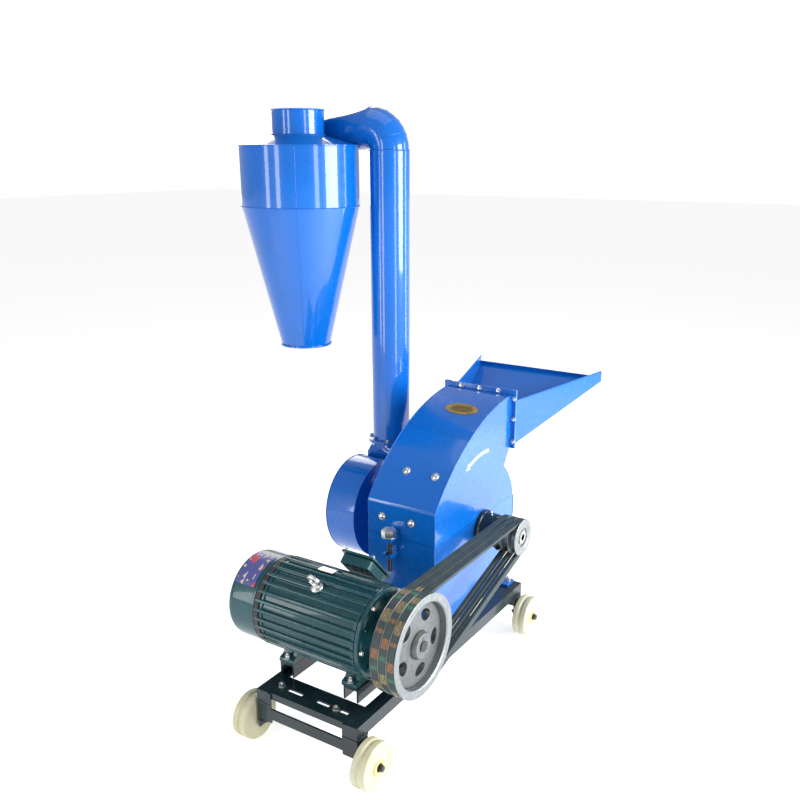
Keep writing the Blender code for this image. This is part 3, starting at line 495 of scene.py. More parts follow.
@effect("Surface skin", {"Place": (0.0, 0.0, 0.0), "Fine": 400.0, "Broad": 20.0, "Mix": 0.5}, ("Height",))
def surface_skin(t, given):
    """The faint unevenness of sprayed or cast skins: two sizes of noise added up."""
    fine = t.noise(given["Place"], given["Fine"], 2.0)
    broad = t.noise(given["Place"], given["Broad"], 2.0)
    rest = t.math("MULTIPLY", broad, t.math("SUBTRACT", 1.0, given["Mix"]))
    return (t.math("ADD", t.math("MULTIPLY", fine, given["Mix"]), rest),)


@effect("Worn enamel", {"Place": (0.0, 0.0, 0.0), "Colour": (0.5, 0.5, 0.5, 1.0), "Shade": (0.4, 0.4, 0.4, 1.0),
                        "Scratch": (0.6, 0.6, 0.6, 1.0), "Primer": (0.05, 0.045, 0.04, 1.0),
                        "Dirt": (0.34, 0.31, 0.26, 1.0), "Wear": 0.1, "Dust": 0.1, "Rough": 0.3, "Fine": 400.0,
                        "Broad": 20.0, "Mix": 0.5}, ("Colour", "Roughness", "Height"))
def worn_enamel(t, given):
    """Enamel that drifts between two shades, with scratches, chips to primer, dust low down and a sprayed skin."""
    where = given["Place"]
    drift = use(t, clouds, Place=where, Scale=3.5, Detail=3.0)["Value"]
    worn = use(t, wear, Place=where, Amount=given["Wear"], Scale=38.0)
    dust = use(t, grime, Place=where, Amount=given["Dust"], Height=0.45)["Mask"]
    shade = t.mix(drift, given["Colour"], given["Shade"])
    shade = t.mix(t.math("MULTIPLY", worn["Scratches"], 0.35), shade, given["Scratch"])
    shade = t.mix(dust, t.mix(worn["Chips"], shade, given["Primer"]), given["Dirt"])
    gloss = use(t, clouds, Place=where, Scale=60.0, Detail=5.0, Low=t.math("ADD", given["Rough"], -0.05),
                High=t.math("ADD", given["Rough"], 0.07))["Value"]
    roughness = t.math("ADD", gloss, t.math("MULTIPLY", t.math("ADD", worn["Chips"], dust), 0.4))
    peel = use(t, surface_skin, Place=where, Fine=given["Fine"], Broad=given["Broad"], Mix=given["Mix"])["Height"]
    return shade, roughness, t.math("SUBTRACT", peel, t.math("MULTIPLY", worn["Chips"], 0.6))


@effect("Tooled metal", {"Place": (0.0, 0.0, 0.0), "Colour": (0.5, 0.5, 0.5, 1.0), "Shade": (0.4, 0.4, 0.4, 1.0),
                         "Stain": (0.18, 0.14, 0.1, 1.0), "Grain": (60.0, 60.0, 60.0), "Stained": 0.25,
                         "Rough": 0.3}, ("Colour", "Roughness", "Height"))
def tooled_metal(t, given):
    """Bare metal: noise stretched by the grain into tool marks, cloudy roughness, and faint staining."""
    marks = t.noise(t.stretched(given["Place"], given["Grain"]), 1.0, 3.0, 0.6)
    cloud = use(t, clouds, Place=given["Place"], Scale=22.0, Detail=5.0, Roughness=0.6, From=0.5, To=0.75)
    shade = t.mix(t.span(marks, 0.3, 0.7), given["Colour"], given["Shade"])
    shade = t.mix(t.math("MULTIPLY", cloud["Value"], given["Stained"]), shade, given["Stain"])
    mixed = t.math("ADD", t.math("MULTIPLY", marks, 0.5), t.math("MULTIPLY", cloud["Noise"], 0.5))
    roughness = t.span(mixed, 0.3, 0.7, t.math("ADD", given["Rough"], -0.08), t.math("ADD", given["Rough"], 0.14))
    return shade, roughness, marks


def tint(colour, times=1.0, more=0.0):
    """A colour made darker or lighter, with its alpha."""
    return (*(min(1.0, c * times + more) for c in colour), 1.0)


def new_material(name):
    """A material with its Principled shader and a Tree over its nodes."""
    made = bpy.data.materials.new(name)
    made.use_nodes = True
    return made, Tree(made.node_tree), made.node_tree.nodes["Principled BSDF"]


def finish_shader(t, shader, **sockets):
    """Sets or joins the shader's sockets, named with underscores for spaces."""
    for name, value in sockets.items():
        t.feed(shader.inputs[name.replace("_", " ")], value)


def paint(name, colour, dark, rough, coat, worn, dust, skin=(420.0, 14.0, 0.4), bumpiness=0.12,
          under=(0.05, 0.045, 0.04), shine=0.4):
    """Enamel from its two shades, roughness, clear coat, wear, dust and skin of (fine, broad, mix)."""
    made, t, shader = new_material(name)
    enamel = use(t, worn_enamel, Place=t.place(), Colour=tint(colour), Shade=tint(dark), Primer=tint(under),
                 Scratch=tint(colour, 1.25, 0.06), Wear=worn, Dust=dust, Rough=rough, Fine=skin[0],
                 Broad=skin[1], Mix=skin[2])
    finish_shader(t, shader, Base_Color=enamel["Colour"], Roughness=enamel["Roughness"], Coat_Weight=coat,
                  Coat_Roughness=0.05, Specular_IOR_Level=shine, Normal=t.bump(enamel["Height"], bumpiness, 0.002))
    return made


def metal(name, colour, rough, grain, stained=0.25, metallic=1.0, bumpiness=0.15, stain=(0.18, 0.14, 0.1)):
    """Bare metal from its colour, roughness, and grain in marks per metre along X, Y and Z."""
    made, t, shader = new_material(name)
    bare = use(t, tooled_metal, Place=t.place(), Colour=tint(colour), Shade=tint(colour, 0.72), Stain=tint(stain),
               Grain=grain, Stained=stained, Rough=rough)
    finish_shader(t, shader, Base_Color=bare["Colour"], Roughness=bare["Roughness"], Metallic=metallic,
                  Normal=t.bump(bare["Height"], bumpiness, 0.0006))
    return made


def moulded_nylon(colour):
    """Moulded nylon: ivory, cloudier and yellower in patches, with scuffs and dust on the tread."""
    made, t, shader = new_material("Ivory nylon")
    where = t.place()
    cloud = use(t, clouds, Place=where, Scale=14.0, From=0.35)["Value"]
    shade = t.mix(cloud, tint(colour), (colour[0] * 0.93, colour[1] * 0.9, colour[2] * 0.72, 1))
    scuffs = use(t, wear, Place=where, Amount=0.35, Scale=60.0)["Chips"]
    dust = use(t, grime, Place=where, Amount=0.18, Height=0.09)["Mask"]
    shade = t.mix(dust, t.mix(t.math("MULTIPLY", scuffs, 0.35), shade, (0.3, 0.27, 0.2, 1)), (0.36, 0.32, 0.25, 1))
    skin = use(t, surface_skin, Place=where, Fine=300.0, Broad=40.0, Mix=0.6)["Height"]
    finish_shader(t, shader, Base_Color=shade, Roughness=t.span(cloud, 0, 1, 0.36, 0.52), Subsurface_Weight=0.08,
                  Subsurface_Radius=(0.004, 0.003, 0.002), Normal=t.bump(skin, 0.15, 0.001))
    return made


TAN, GREEN, ORANGE = (0.42, 0.3, 0.1), (0.03, 0.28, 0.1), (0.5, 0.16, 0.03)
# Printed bands: where each starts and stops, as parts of the belt's length
BELT_BANDS = ((0.005, 0.019, TAN), (0.024, 0.031, GREEN), (0.052, 0.072, TAN), (0.083, 0.089, ORANGE),
              (0.112, 0.126, ORANGE), (0.137, 0.144, GREEN), (0.165, 0.185, TAN))
BELT_BACK = (0.02, 0.4)


def belt_rubber(rubber):
    """Wrapped rubber: a woven jacket along the belt's own map, and coloured bands printed on its back."""
    made, t, shader = new_material("Belt rubber")
    wrap = t.add("ShaderNodeUVMap", {}, uv_map="wrap").outputs[0]
    parts = t.parts_of(wrap)
    weave = t.stretched(wrap, (900.0, 40.0, 1.0), (0, 0, 0.6))
    cloth = t.add("ShaderNodeTexChecker", {"Vector": weave, "Scale": 1.0}).outputs["Fac"]
    cloud = use(t, clouds, Place=t.place(), Scale=35.0, Detail=5.0)
    shade = t.mix(cloud["Value"], tint(rubber), tint(rubber, 1.9, 0.01))
    shade = t.mix(t.math("MULTIPLY", cloth, 0.07), shade, (0.1, 0.12, 0.12, 1))
    spots = t.span(t.noise(wrap, 120.0, 5.0, 0.7), 0.4, 0.6)

    def between(value, low, high):
        return t.math("MULTIPLY", t.math("GREATER_THAN", value, low), t.math("LESS_THAN", value, high))

    back = between(parts["Y"], *BELT_BACK)
    for start, stop, colour in BELT_BANDS:
        ink = t.math("MULTIPLY", t.math("MULTIPLY", between(parts["X"], start, stop), back), spots)
        shade = t.mix(t.math("MULTIPLY", ink, 0.7), shade, tint(colour))
    height = t.math("ADD", t.math("MULTIPLY", cloth, 0.5), cloud["Noise"])
    finish_shader(t, shader, Base_Color=shade, Roughness=t.span(cloud["Value"], 0, 1, 0.55, 0.75),
                  Normal=t.bump(height, 0.2, 0.0006))
    return made


def punched_steel():
    """Punched steel sheet: round holes where an even grid of cells is nearest its centres, painted near-black as the
    shade seen through them.
    """
    made, t, shader = new_material("Punched steel")
    cells = t.add("ShaderNodeTexVoronoi", {"Vector": t.place(), "Scale": 140.0, "Randomness": 0.0})
    hole = t.math("LESS_THAN", cells.outputs["Distance"], 0.3)
    sheet = t.math("SUBTRACT", 1.0, hole)
    # Painted shade: each hole gets a near-black colour standing in for the shaded inside seen through it.
    finish_shader(t, shader, Base_Color=t.mix(hole, (0.42, 0.42, 0.41, 1), (0.012, 0.012, 0.012, 1)),
                  Roughness=t.span(hole, 0, 1, 0.35, 0.9), Metallic=sheet, Normal=t.bump(sheet, 0.6, 0.001))
    return made


def printed_label():
    """A label without words: soft stripes and patches of red and yellow on violet."""
    made, t, shader = new_material("Printed label")
    where = t.place()
    row = t.math("FRACT", t.math("MULTIPLY", t.parts_of(where)["Y"], 52.0), 0.0)
    dash = t.math("GREATER_THAN", t.noise(t.stretched(where, (60, 55, 60)), 1.0, 1.0), 0.56)
    stripe = t.math("MULTIPLY", t.math("GREATER_THAN", row, 0.45), dash)
    shade = t.mix(stripe, (0.07, 0.075, 0.25, 1), (0.5, 0.42, 0.3, 1))
    patch = t.math("GREATER_THAN", t.noise(where, 34.0, 0.0), 0.66)
    roughness = use(t, clouds, Place=where, Scale=60.0, Low=0.25, High=0.4)["Value"]
    finish_shader(t, shader, Base_Color=t.mix(patch, shade, (0.42, 0.06, 0.1, 1)), Roughness=roughness)
    return made


LOOKS = {}


def looks():
    """Every material of the machine, made once."""
    if LOOKS:
        return LOOKS
    s = bpy.context.scene.mill_paint
    blue, green, black = tuple(s.blue), tuple(s.green), tuple(s.black)
    dark_blue = tint(blue, 0.8)[:3]
    LOOKS.update({
        "blue": paint("Blue enamel", blue, dark_blue, 0.24, 0.75, 0.05, 0.02, bumpiness=0.03, shine=0.2),
        "weld": paint("Painted weld", tint(blue, 0.9)[:3], dark_blue, 0.34, 0.3, 0.1, 0.04,
                      skin=(260.0, 90.0, 0.5), bumpiness=0.3, shine=0.25),
        "green": paint("Motor enamel", green, tint(green, 0.65)[:3], 0.26, 0.35, 0.06, 0.02,
                       skin=(190.0, 45.0, 0.6), bumpiness=0.08, shine=0.22),
        "black": paint("Chassis black", black, tint(black, 1.6, 0.001)[:3], 0.3, 0.35, 0.16, 0.03,
                       skin=(240.0, 30.0, 0.5), bumpiness=0.12, under=(0.1, 0.07, 0.05), shine=0.25),
        "hub": paint("Yellowed nylon", (0.66, 0.56, 0.24), (0.55, 0.44, 0.16), 0.42, 0.1, 0.1, 0.1,
                     under=(0.2, 0.16, 0.08)),
        "plastic": paint("Black plastic", (0.014, 0.014, 0.015), (0.02, 0.02, 0.021), 0.5, 0.0, 0.1, 0.2),
        "white": paint("White marking", (0.75, 0.78, 0.8), (0.6, 0.66, 0.72), 0.4, 0.1, 0.3, 0.1,
                       under=(0.0, 0.08, 0.4)),
        "cast": metal("Machined cast iron", (0.31, 0.34, 0.35), 0.38, (70.0, 420.0, 70.0), 0.08),
        "dark_steel": metal("Blackened steel", (0.055, 0.055, 0.06), 0.38, (140.0, 140.0, 60.0), 0.3, metallic=0.8),
        "web": metal("Rough cast iron", (0.2, 0.22, 0.225), 0.55, (80.0, 80.0, 80.0), 0.45, bumpiness=0.6),
        "zinc": metal("Zinc plate", (0.72, 0.74, 0.73), 0.26, (140.0, 140.0, 40.0), 0.12),
        "steel": metal("Turned steel", (0.5, 0.5, 0.49), 0.3, (20.0, 420.0, 20.0)),
        "brass": metal("Brass", (0.46, 0.32, 0.1), 0.4, (60.0, 60.0, 60.0), 0.5, stain=(0.12, 0.07, 0.02)),
        "etched": metal("Etched brass", (0.13, 0.08, 0.03), 0.5, (90.0, 90.0, 90.0), 0.5, metallic=0.6),
        "nylon": moulded_nylon(tuple(s.nylon)), "rubber": belt_rubber(tuple(s.rubber)),
        "punched": punched_steel(), "label": printed_label()})
    return LOOKS


# ---------------------------------------------------------------- settings

class PaintSettings(bpy.types.PropertyGroup):
    """Colours of the machine's finishes."""

    blue: FloatVectorProperty(name="Blue enamel", description="Mill, blower, pipe and cyclone", subtype="COLOR",
                              default=(0.0, 0.122, 0.52), min=0, max=1)
    green: FloatVectorProperty(name="Motor enamel", description="Motor castings and cowl", subtype="COLOR",
                               default=(0.006, 0.066, 0.082), min=0, max=1)
    black: FloatVectorProperty(name="Chassis black", description="Frame, slide rails and bearing housings",
                               subtype="COLOR", default=(0.002, 0.011, 0.016), min=0, max=1)
    nylon: FloatVectorProperty(name="Nylon", description="Rollers", subtype="COLOR", default=(0.5, 0.49, 0.36),
                               min=0, max=1)
    rubber: FloatVectorProperty(name="Rubber", description="V-belts", subtype="COLOR", default=(0.014, 0.026, 0.027),
                                min=0, max=1)


class MotorSettings(bpy.types.PropertyGroup):
    """Sizes of the motor's details."""

    fins: IntProperty(name="Fins", description="Cooling fins round the motor", default=30, min=16, max=72)
    fin_height: FloatProperty(name="Fin height", description="Depth of the cooling fins in millimetres", default=9.0,
                              min=4, max=20)
    cowl_rounding: FloatProperty(name="Cowl rounding", description="Radius of the cowl's edge in millimetres",
                                 default=20.0, min=2, max=40)


class DriveSettings(bpy.types.PropertyGroup):
    """Sizes of the pulleys and belts."""

    belt_depth: FloatProperty(name="Belt depth", description="Depth of a belt in millimetres", default=14.0,
                              min=6, max=18)
    web_holes: IntProperty(name="Web holes", description="Openings in the motor pulley", default=5, min=3, max=8)


class MillSettings(bpy.types.PropertyGroup):
    """Sizes of the mill's details."""

    weld: FloatProperty(name="Weld size", description="Half width of a weld bead in millimetres", default=2.6,
                        min=1, max=6)
    dome: FloatProperty(name="Cover bolt", description="Radius of the cover's domed bolts in millimetres",
                        default=11.0, min=5, max=16)


class CycloneSettings(bpy.types.PropertyGroup):
    """Sizes of the cyclone's and pipe's details."""

    rim: FloatProperty(name="Rim roll", description="Radius of rolled rims in millimetres", default=3.0, min=1, max=4)


class StageSettings(bpy.types.PropertyGroup):
    """Floor, lights and camera."""

    floor: FloatVectorProperty(name="Floor", description="Colour of the floor", subtype="COLOR",
                               default=(0.9, 0.9, 0.9), min=0, max=1)
    key: FloatProperty(name="Key light", description="Power of the main lamp", unit="POWER",
                       default=230.0, min=0)
    strips: FloatProperty(name="Strip lights", description="Power of each tall strip lamp", unit="POWER",
                          default=22.0, min=0)
    sky: FloatProperty(name="Surround", description="Strength of the light from all round", default=0.45, min=0)


SETTINGS = {"mill_paint": PaintSettings, "mill_motor": MotorSettings, "mill_drive": DriveSettings,
            "mill_housing": MillSettings, "mill_cyclone": CycloneSettings, "mill_stage": StageSettings}


# ---------------------------------------------------------------- chassis

ROLLER_RADIUS, BOLT_RADIUS = 70.0, 7.9
# Along each axle from the mill's middle: where the bolt ends, its nut, and the spacer behind the roller
AXLE_END, AXLE_NUT, SPACER = 166.0, 172.0, (177.0, 184.0)
FRAME_TOP = 179.0
FRAME_BOLTS = ((47, 122), (42, -76), (954, 118), (954, -118))
RAIL_BOLTS = ((338, -87), (338, 143))
FRAME_WELD = 2.4


def roller_profile(inner, outer):
    """Half section from the bore: rounded shoulders, a groove in the tread, dished faces, as parts of the width."""
    r = ROLLER_RADIUS
    corners = [(8.3, 0.03), (22, 0.03), (22, 0.0), (62, 0.0), (r, 0.06), (r, 0.36), (r - 4, 0.42), (r - 4, 0.55),
               (r, 0.61), (r, 0.93), (63, 1.0), (52, 0.95), (27, 0.92), (24, 0.97), (8.3, 0.97)]
    return eased([(radius, inner + (outer - inner) * part) for radius, part in corners], 3.0)


class MILL_OT_chassis(bpy.types.Operator):
    """Frame paint, rollers, roller bolts, frame bolts and welds"""

    bl_idname = "mill.chassis"
    bl_label = "Chassis"

    def execute(self, context):
        repaint("black", "frame_side_near", "frame_side_far", "front_cross_plate", "rear_cross_plate",
                "middle_cross_beam", "front_lower_bar", "rear_lower_bar", "slide_rail_near", "slide_rail_far")
        for end in ("front", "rear"):
            self.roller(f"{end}_near", -1)
            self.roller(f"{end}_far", 1)
        rail_top = span("slide_rail_near")[1][2]
        bolts = [turned_to(hex_bolt(15, shank=3), (0, 0, 1), (x, y, FRAME_TOP)) for x, y in FRAME_BOLTS]
        bolts += [turned_to(hex_bolt(14), (0, 0, 1), (x, y, rail_top)) for x, y in RAIL_BOLTS]
        piece("frame_bolts", together(*bolts), "zinc")
        runs = []
        for side in (-1, 1):
            face, leg = 176.5 * side, 126.5 * side
            for x, inward in ((0, 1), (999, -1)):
                edge, along, stop = x + inward * 2, x + inward * 5, x + inward * 50
                runs += [bead(line((along, face, 138), (stop, face, 138)), FRAME_WELD, up=(0, 1, 0)),
                         bead(line((x, side * 127, 138), (x, side * 176, 138)), FRAME_WELD, up=(1, 0, 0)),
                         bead(line((edge, leg, 95), (edge, leg, 124)), FRAME_WELD, up=(1, 0, 0))]
        piece("frame_welds", together(*runs), "black")
        return {"FINISHED"}

    def roller(self, name, out):
        """A roller, the disc over its bearing, and its shouldered bolt with nut and spacer. out is its side in Y."""
        body = f"wheel_{name}"
        low, high = span(body)
        centre = ((low + high) / 2)[[0, 2]]
        inner, outer = (high[1], low[1]) if out < 0 else (low[1], high[1])
        piece(f"roller_{name}", lathe(roller_profile(inner, outer), "y", centre, 112), "nylon", body, body)
        disc = [(r, outer - out * 1.5 + out * depth) for r, depth in ((24, 0), (24, 1.5), (13, 2.5), (13, 0))]
        piece(f"roller_hub_{name}", lathe(eased(disc, 1.0), "y", centre, 48), "hub", body)
        head = turned_to(hex_bolt(17), (0, out, 0), (centre[0], outer + out * 0.6, centre[1]))
        shank = [(0, AXLE_END * out), (BOLT_RADIUS, AXLE_END * out), (BOLT_RADIUS, outer), (0, outer)]
        nut = turned_to(hex_bolt(19, shank=6), (0, -out, 0), (centre[0], AXLE_NUT * out, centre[1]))
        spacer = collar(8, 13, SPACER[0] * out, SPACER[1] * out, 0.5, "y", centre, 28)
        bolt = together(head, lathe(shank, "y", centre, 28, False), nut, spacer)
        piece(f"roller_bolt_{name}", bolt, "dark_steel", replaces=f"wheel_bolt_{name}")


# ---------------------------------------------------------------- motor

FIN_TIP, FEET_FLAT = 136.0, 128.0
FEET = ((-108, -58), (118, 168))
FOOT_OUTLINE = ((-112, 222), (112, 222), (112, 236), (94, 242), (78, 272), (-78, 272), (-94, 242), (-112, 236))
FOOT_TOP = 237.5
GRILLE_RINGS = (86, 74, 62, 50, 38)
# The terminal box leans this far over the shaft's mill side; its middle's lift and place along the shaft
TERMINAL_LEAN, TERMINAL_RISE, TERMINAL_Y = math.radians(42), 12.0, 17.0
EYE_ANGLE, EYE_Y = math.radians(118), 57.0


def fin_outline(fins, tip, root):
    """Motor section: radius = root + (tip - root) * smooth square wave of the angle, cut flat over the feet."""
    turn = circle(fins * 12)
    wave = np.clip(0.5 + 1.9 * (np.cos(turn * fins) - 0.35), 0, 1)
    radius = root + (tip - root) * wave
    floor = FEET_FLAT / np.maximum(-np.sin(turn), 1e-3)
    radius = np.where(np.sin(turn) < 0, np.minimum(radius, floor), radius)
    return np.stack([radius * np.cos(turn), radius * np.sin(turn)], -1)


class MILL_OT_motor(bpy.types.Operator):
    """Finned motor, end shield, cowl, terminal box, feet, eyebolt and plates"""

    bl_idname = "mill.motor"
    bl_label = "Motor"

    def execute(self, context):
        s = context.scene.mill_motor
        low, high = span("motor_frame")
        outline = fin_outline(s.fins, FIN_TIP, FIN_TIP - s.fin_height)
        ends = [(low[1], 0.955), (low[1] + 1, 0.985), (low[1] + 6, 1.0), (high[1] - 6, 1.0), (high[1] - 1, 0.985),
                (high[1], 0.955)]
        rings = [on_axis("y", y, *(MOTOR_AXIS[:, None] + outline.T * grow)) for y, grow in ends]
        shape = eased([(MOTOR_AXIS[0] + x, z) for x, z in FOOT_OUTLINE], 5)
        feet = [slab(shape, "y", y0, y1) for y0, y1 in FEET]
        # Painted shade: a black ring at the end of the fins, next to the cowl, stands in for the shaded gap between
        # body and cowl.
        piece("motor_shade_ring", self.band(high[1] - 18, 134.5, 17.6), "plastic")
        bands = [self.band(low[1] + 3, 131, 10), self.band(high[1] - 30, 131, 10)]
        piece("motor_casing", together(stack(rings), *feet, *bands), "green", replaces="motor_frame", bevel=0.8)
        self.shield()
        self.cowl(s.cowl_rounding)
        self.terminal()
        self.trim()
        repaint("steel", "motor_shaft")
        repaint("plastic", "motor_cooling_fan")
        return {"FINISHED"}

    def band(self, y, radius, width):
        """A ring round the motor, sunk into its fins."""
        return collar(radius - 14, radius, y, y + width, 2, "y", MOTOR_AXIS, 120)

    def shield(self):
        """Drive-end casting: stepped lathe profile with a ring of bolts and radial ribs."""
        y = span("motor_end_shield")[1][1]
        profile = eased([(21, y), (134, y), (134, y - 12), (124, y - 16), (112, y - 18), (66, y - 25), (52, y - 34),
                         (21, y - 34)], 3)
        ribs = spokes(MOTOR_AXIS, 6, 30, 50, 122, 3, y - 24, y - 10)
        piece("motor_drive_shield", together(lathe(profile, "y", MOTOR_AXIS, 120), *ribs), "green",
              replaces="motor_end_shield")
        piece("motor_shield_bolts", together(*bolt_ring(hex_bolt(10), "y", -1, y - 16, MOTOR_AXIS, 122, 6)), "zinc")

    def cowl(self, rounding):
        """Fan cowl: a pressed drum with a rounded end, an open grille of rings and spokes, and a rolled seam."""
        low, high = span("motor_fan_cowl")
        r, y0, y1 = (high[0] - low[0]) / 2 + 1.5, low[1], high[1]
        profile = [(r - 2.5, y0), (r, y0), (r, y1), (98, y1), (98, y1 - 2.5), (r - 2.5, y1 - 2.5)]
        parts = [lathe(eased(profile, [1, 1.2, rounding, 1, 1, rounding - 3], 9), "y", MOTOR_AXIS, 128),
                 collar(r - 1, r + 1.8, y0, y0 + 9, 1.2, "y", MOTOR_AXIS, 128)]
        for radius in GRILLE_RINGS:
            parts.append(collar(radius - 2.6, radius + 2.6, y1 - 2.4, y1 - 0.2, 0.7, "y", MOTOR_AXIS, 80))
        middle_disc = [(0, y1 - 2.6), (28, y1 - 2.6), (28, y1 - 0.1), (0, y1 - 0.1)]
        parts.append(lathe(middle_disc, "y", MOTOR_AXIS, 60, False))
        parts += spokes(MOTOR_AXIS, 8, 22.5, 24, 102, 3, y1 - 2.5, y1 - 0.4)
        piece("motor_cowl", together(*parts), "green", replaces="motor_fan_cowl")

    def terminal(self):
        """Terminal box and lid: rounded blocks leaning out over the shaft's mill side, with screws and a gland."""
        out = np.array([math.cos(TERMINAL_LEAN), math.sin(TERMINAL_LEAN)])
        up = np.array([-math.sin(TERMINAL_LEAN), math.cos(TERMINAL_LEAN)])

        def spot(reach, lift, y=TERMINAL_Y):
            flat = MOTOR_AXIS + out * reach + up * (lift + TERMINAL_RISE)
            return flat[0], y, flat[1]

        def leaning(near, far, half_up, half_y):
            shape = eased([(-half_y, -half_up), (half_y, -half_up), (half_y, half_up), (-half_y, half_up)], 12, 6)
            rings = []
            for reach, shrink in ((near, 1.0), (far - 2.5, 1.0), (far, 0.965)):
                flat = MOTOR_AXIS + out * reach + up * TERMINAL_RISE + up * (shape[:, 1:] * shrink)
                rings.append(on_axis("y", TERMINAL_Y + shape[:, 0] * shrink, flat[:, 0], flat[:, 1]))
            return stack(rings)

        piece("terminal_housing", leaning(141.4, 172, 60, 52), "green", replaces="terminal_box", bevel=1.0)
        piece("terminal_cover", leaning(172.4, 180, 68, 59), "green", replaces="terminal_lid", bevel=1.0)
        screws = [turned_to(hex_bolt(8), (out[0], 0, out[1]), spot(180, lift * 57, TERMINAL_Y + side * 48))
                  for side in (-1, 1) for lift in (-1, 1)]
        piece("terminal_screws", together(*screws), "zinc")
        collet = turning([(0, 14), (10, 14), (10, 26), (0, 26)], 1.5, "z", (0, 0), 24)
        gland = turned_to(together(hex_bolt(26, False), collet), (-up[0], 0, -up[1]), spot(157, -60))
        piece("cable_gland", gland, "plastic")

    def trim(self):
        """Eyebolt, foot bolts, a blank rating plate and a label."""
        x, z = MOTOR_AXIS
        out = np.array([math.cos(EYE_ANGLE), 0, math.sin(EYE_ANGLE)])
        base = np.array([x, EYE_Y, z]) + out * 128
        foot = turning([(0, 0), (19, 0), (19, 9), (10, 16), (10, 20), (0, 20)], 2, "z", (0, 0), 32)
        around = circle(64)[:, None]
        loop = base + out * 36 + 17 * (np.cos(around) * out + np.sin(around) * np.array([0, 1, 0]))
        ring = carried(ring_section(5.5, 14), loop, True, up=tuple(np.cross(out, (0, 1, 0))))
        piece("lifting_eye", together(turned_to(foot, out, base), ring), "zinc")
        bolts = [turned_to(hex_bolt(17, shank=5), (0, 0, 1), (x + dx, y, FOOT_TOP)) for dx in (-102, 102)
                 for y in (-83, 143)]
        piece("motor_foot_bolts", together(*bolts), "zinc")
        piece("rating_plates", wrapped_plate(84, 6.25, 9, 135.0, 137.2, 50, 104), "zinc", bevel=0.5)
        piece("cowl_label", wrapped_plate(117, 26, 25, 132.5, 134.5, 258, 330), "label")


# ---------------------------------------------------------------- belt drive

OUTER_FACE, INNER_FACE = span("motor_pulley")[0][1], span("motor_pulley")[1][1]
BELT_ROWS = [middle(f"v_belt_{number}")[1] for number in (1, 2, 3)]
# How far round the loop each belt's printed bands are set on
BELT_SHIFTS = (0.0, 0.031, 0.013)
BIG_PULLEY, SMALL_PULLEY, BELT_SUNK = 150.0, 61.0, 0.5


def grooved(radius, depth):
    """Rim profile from the outer face to the inner one, with a V for each belt and eased crests."""
    points = [(radius - 1.2, OUTER_FACE), (radius, OUTER_FACE + 1.2)]
    floor = radius - depth - 2.6
    for row in BELT_ROWS:
        points += [(radius, row - 12.2), (floor, row - 7.2), (floor, row + 7.2), (radius, row + 12.2)]
    return points + [(radius, INNER_FACE - 1.2), (radius - 1.2, INNER_FACE)]


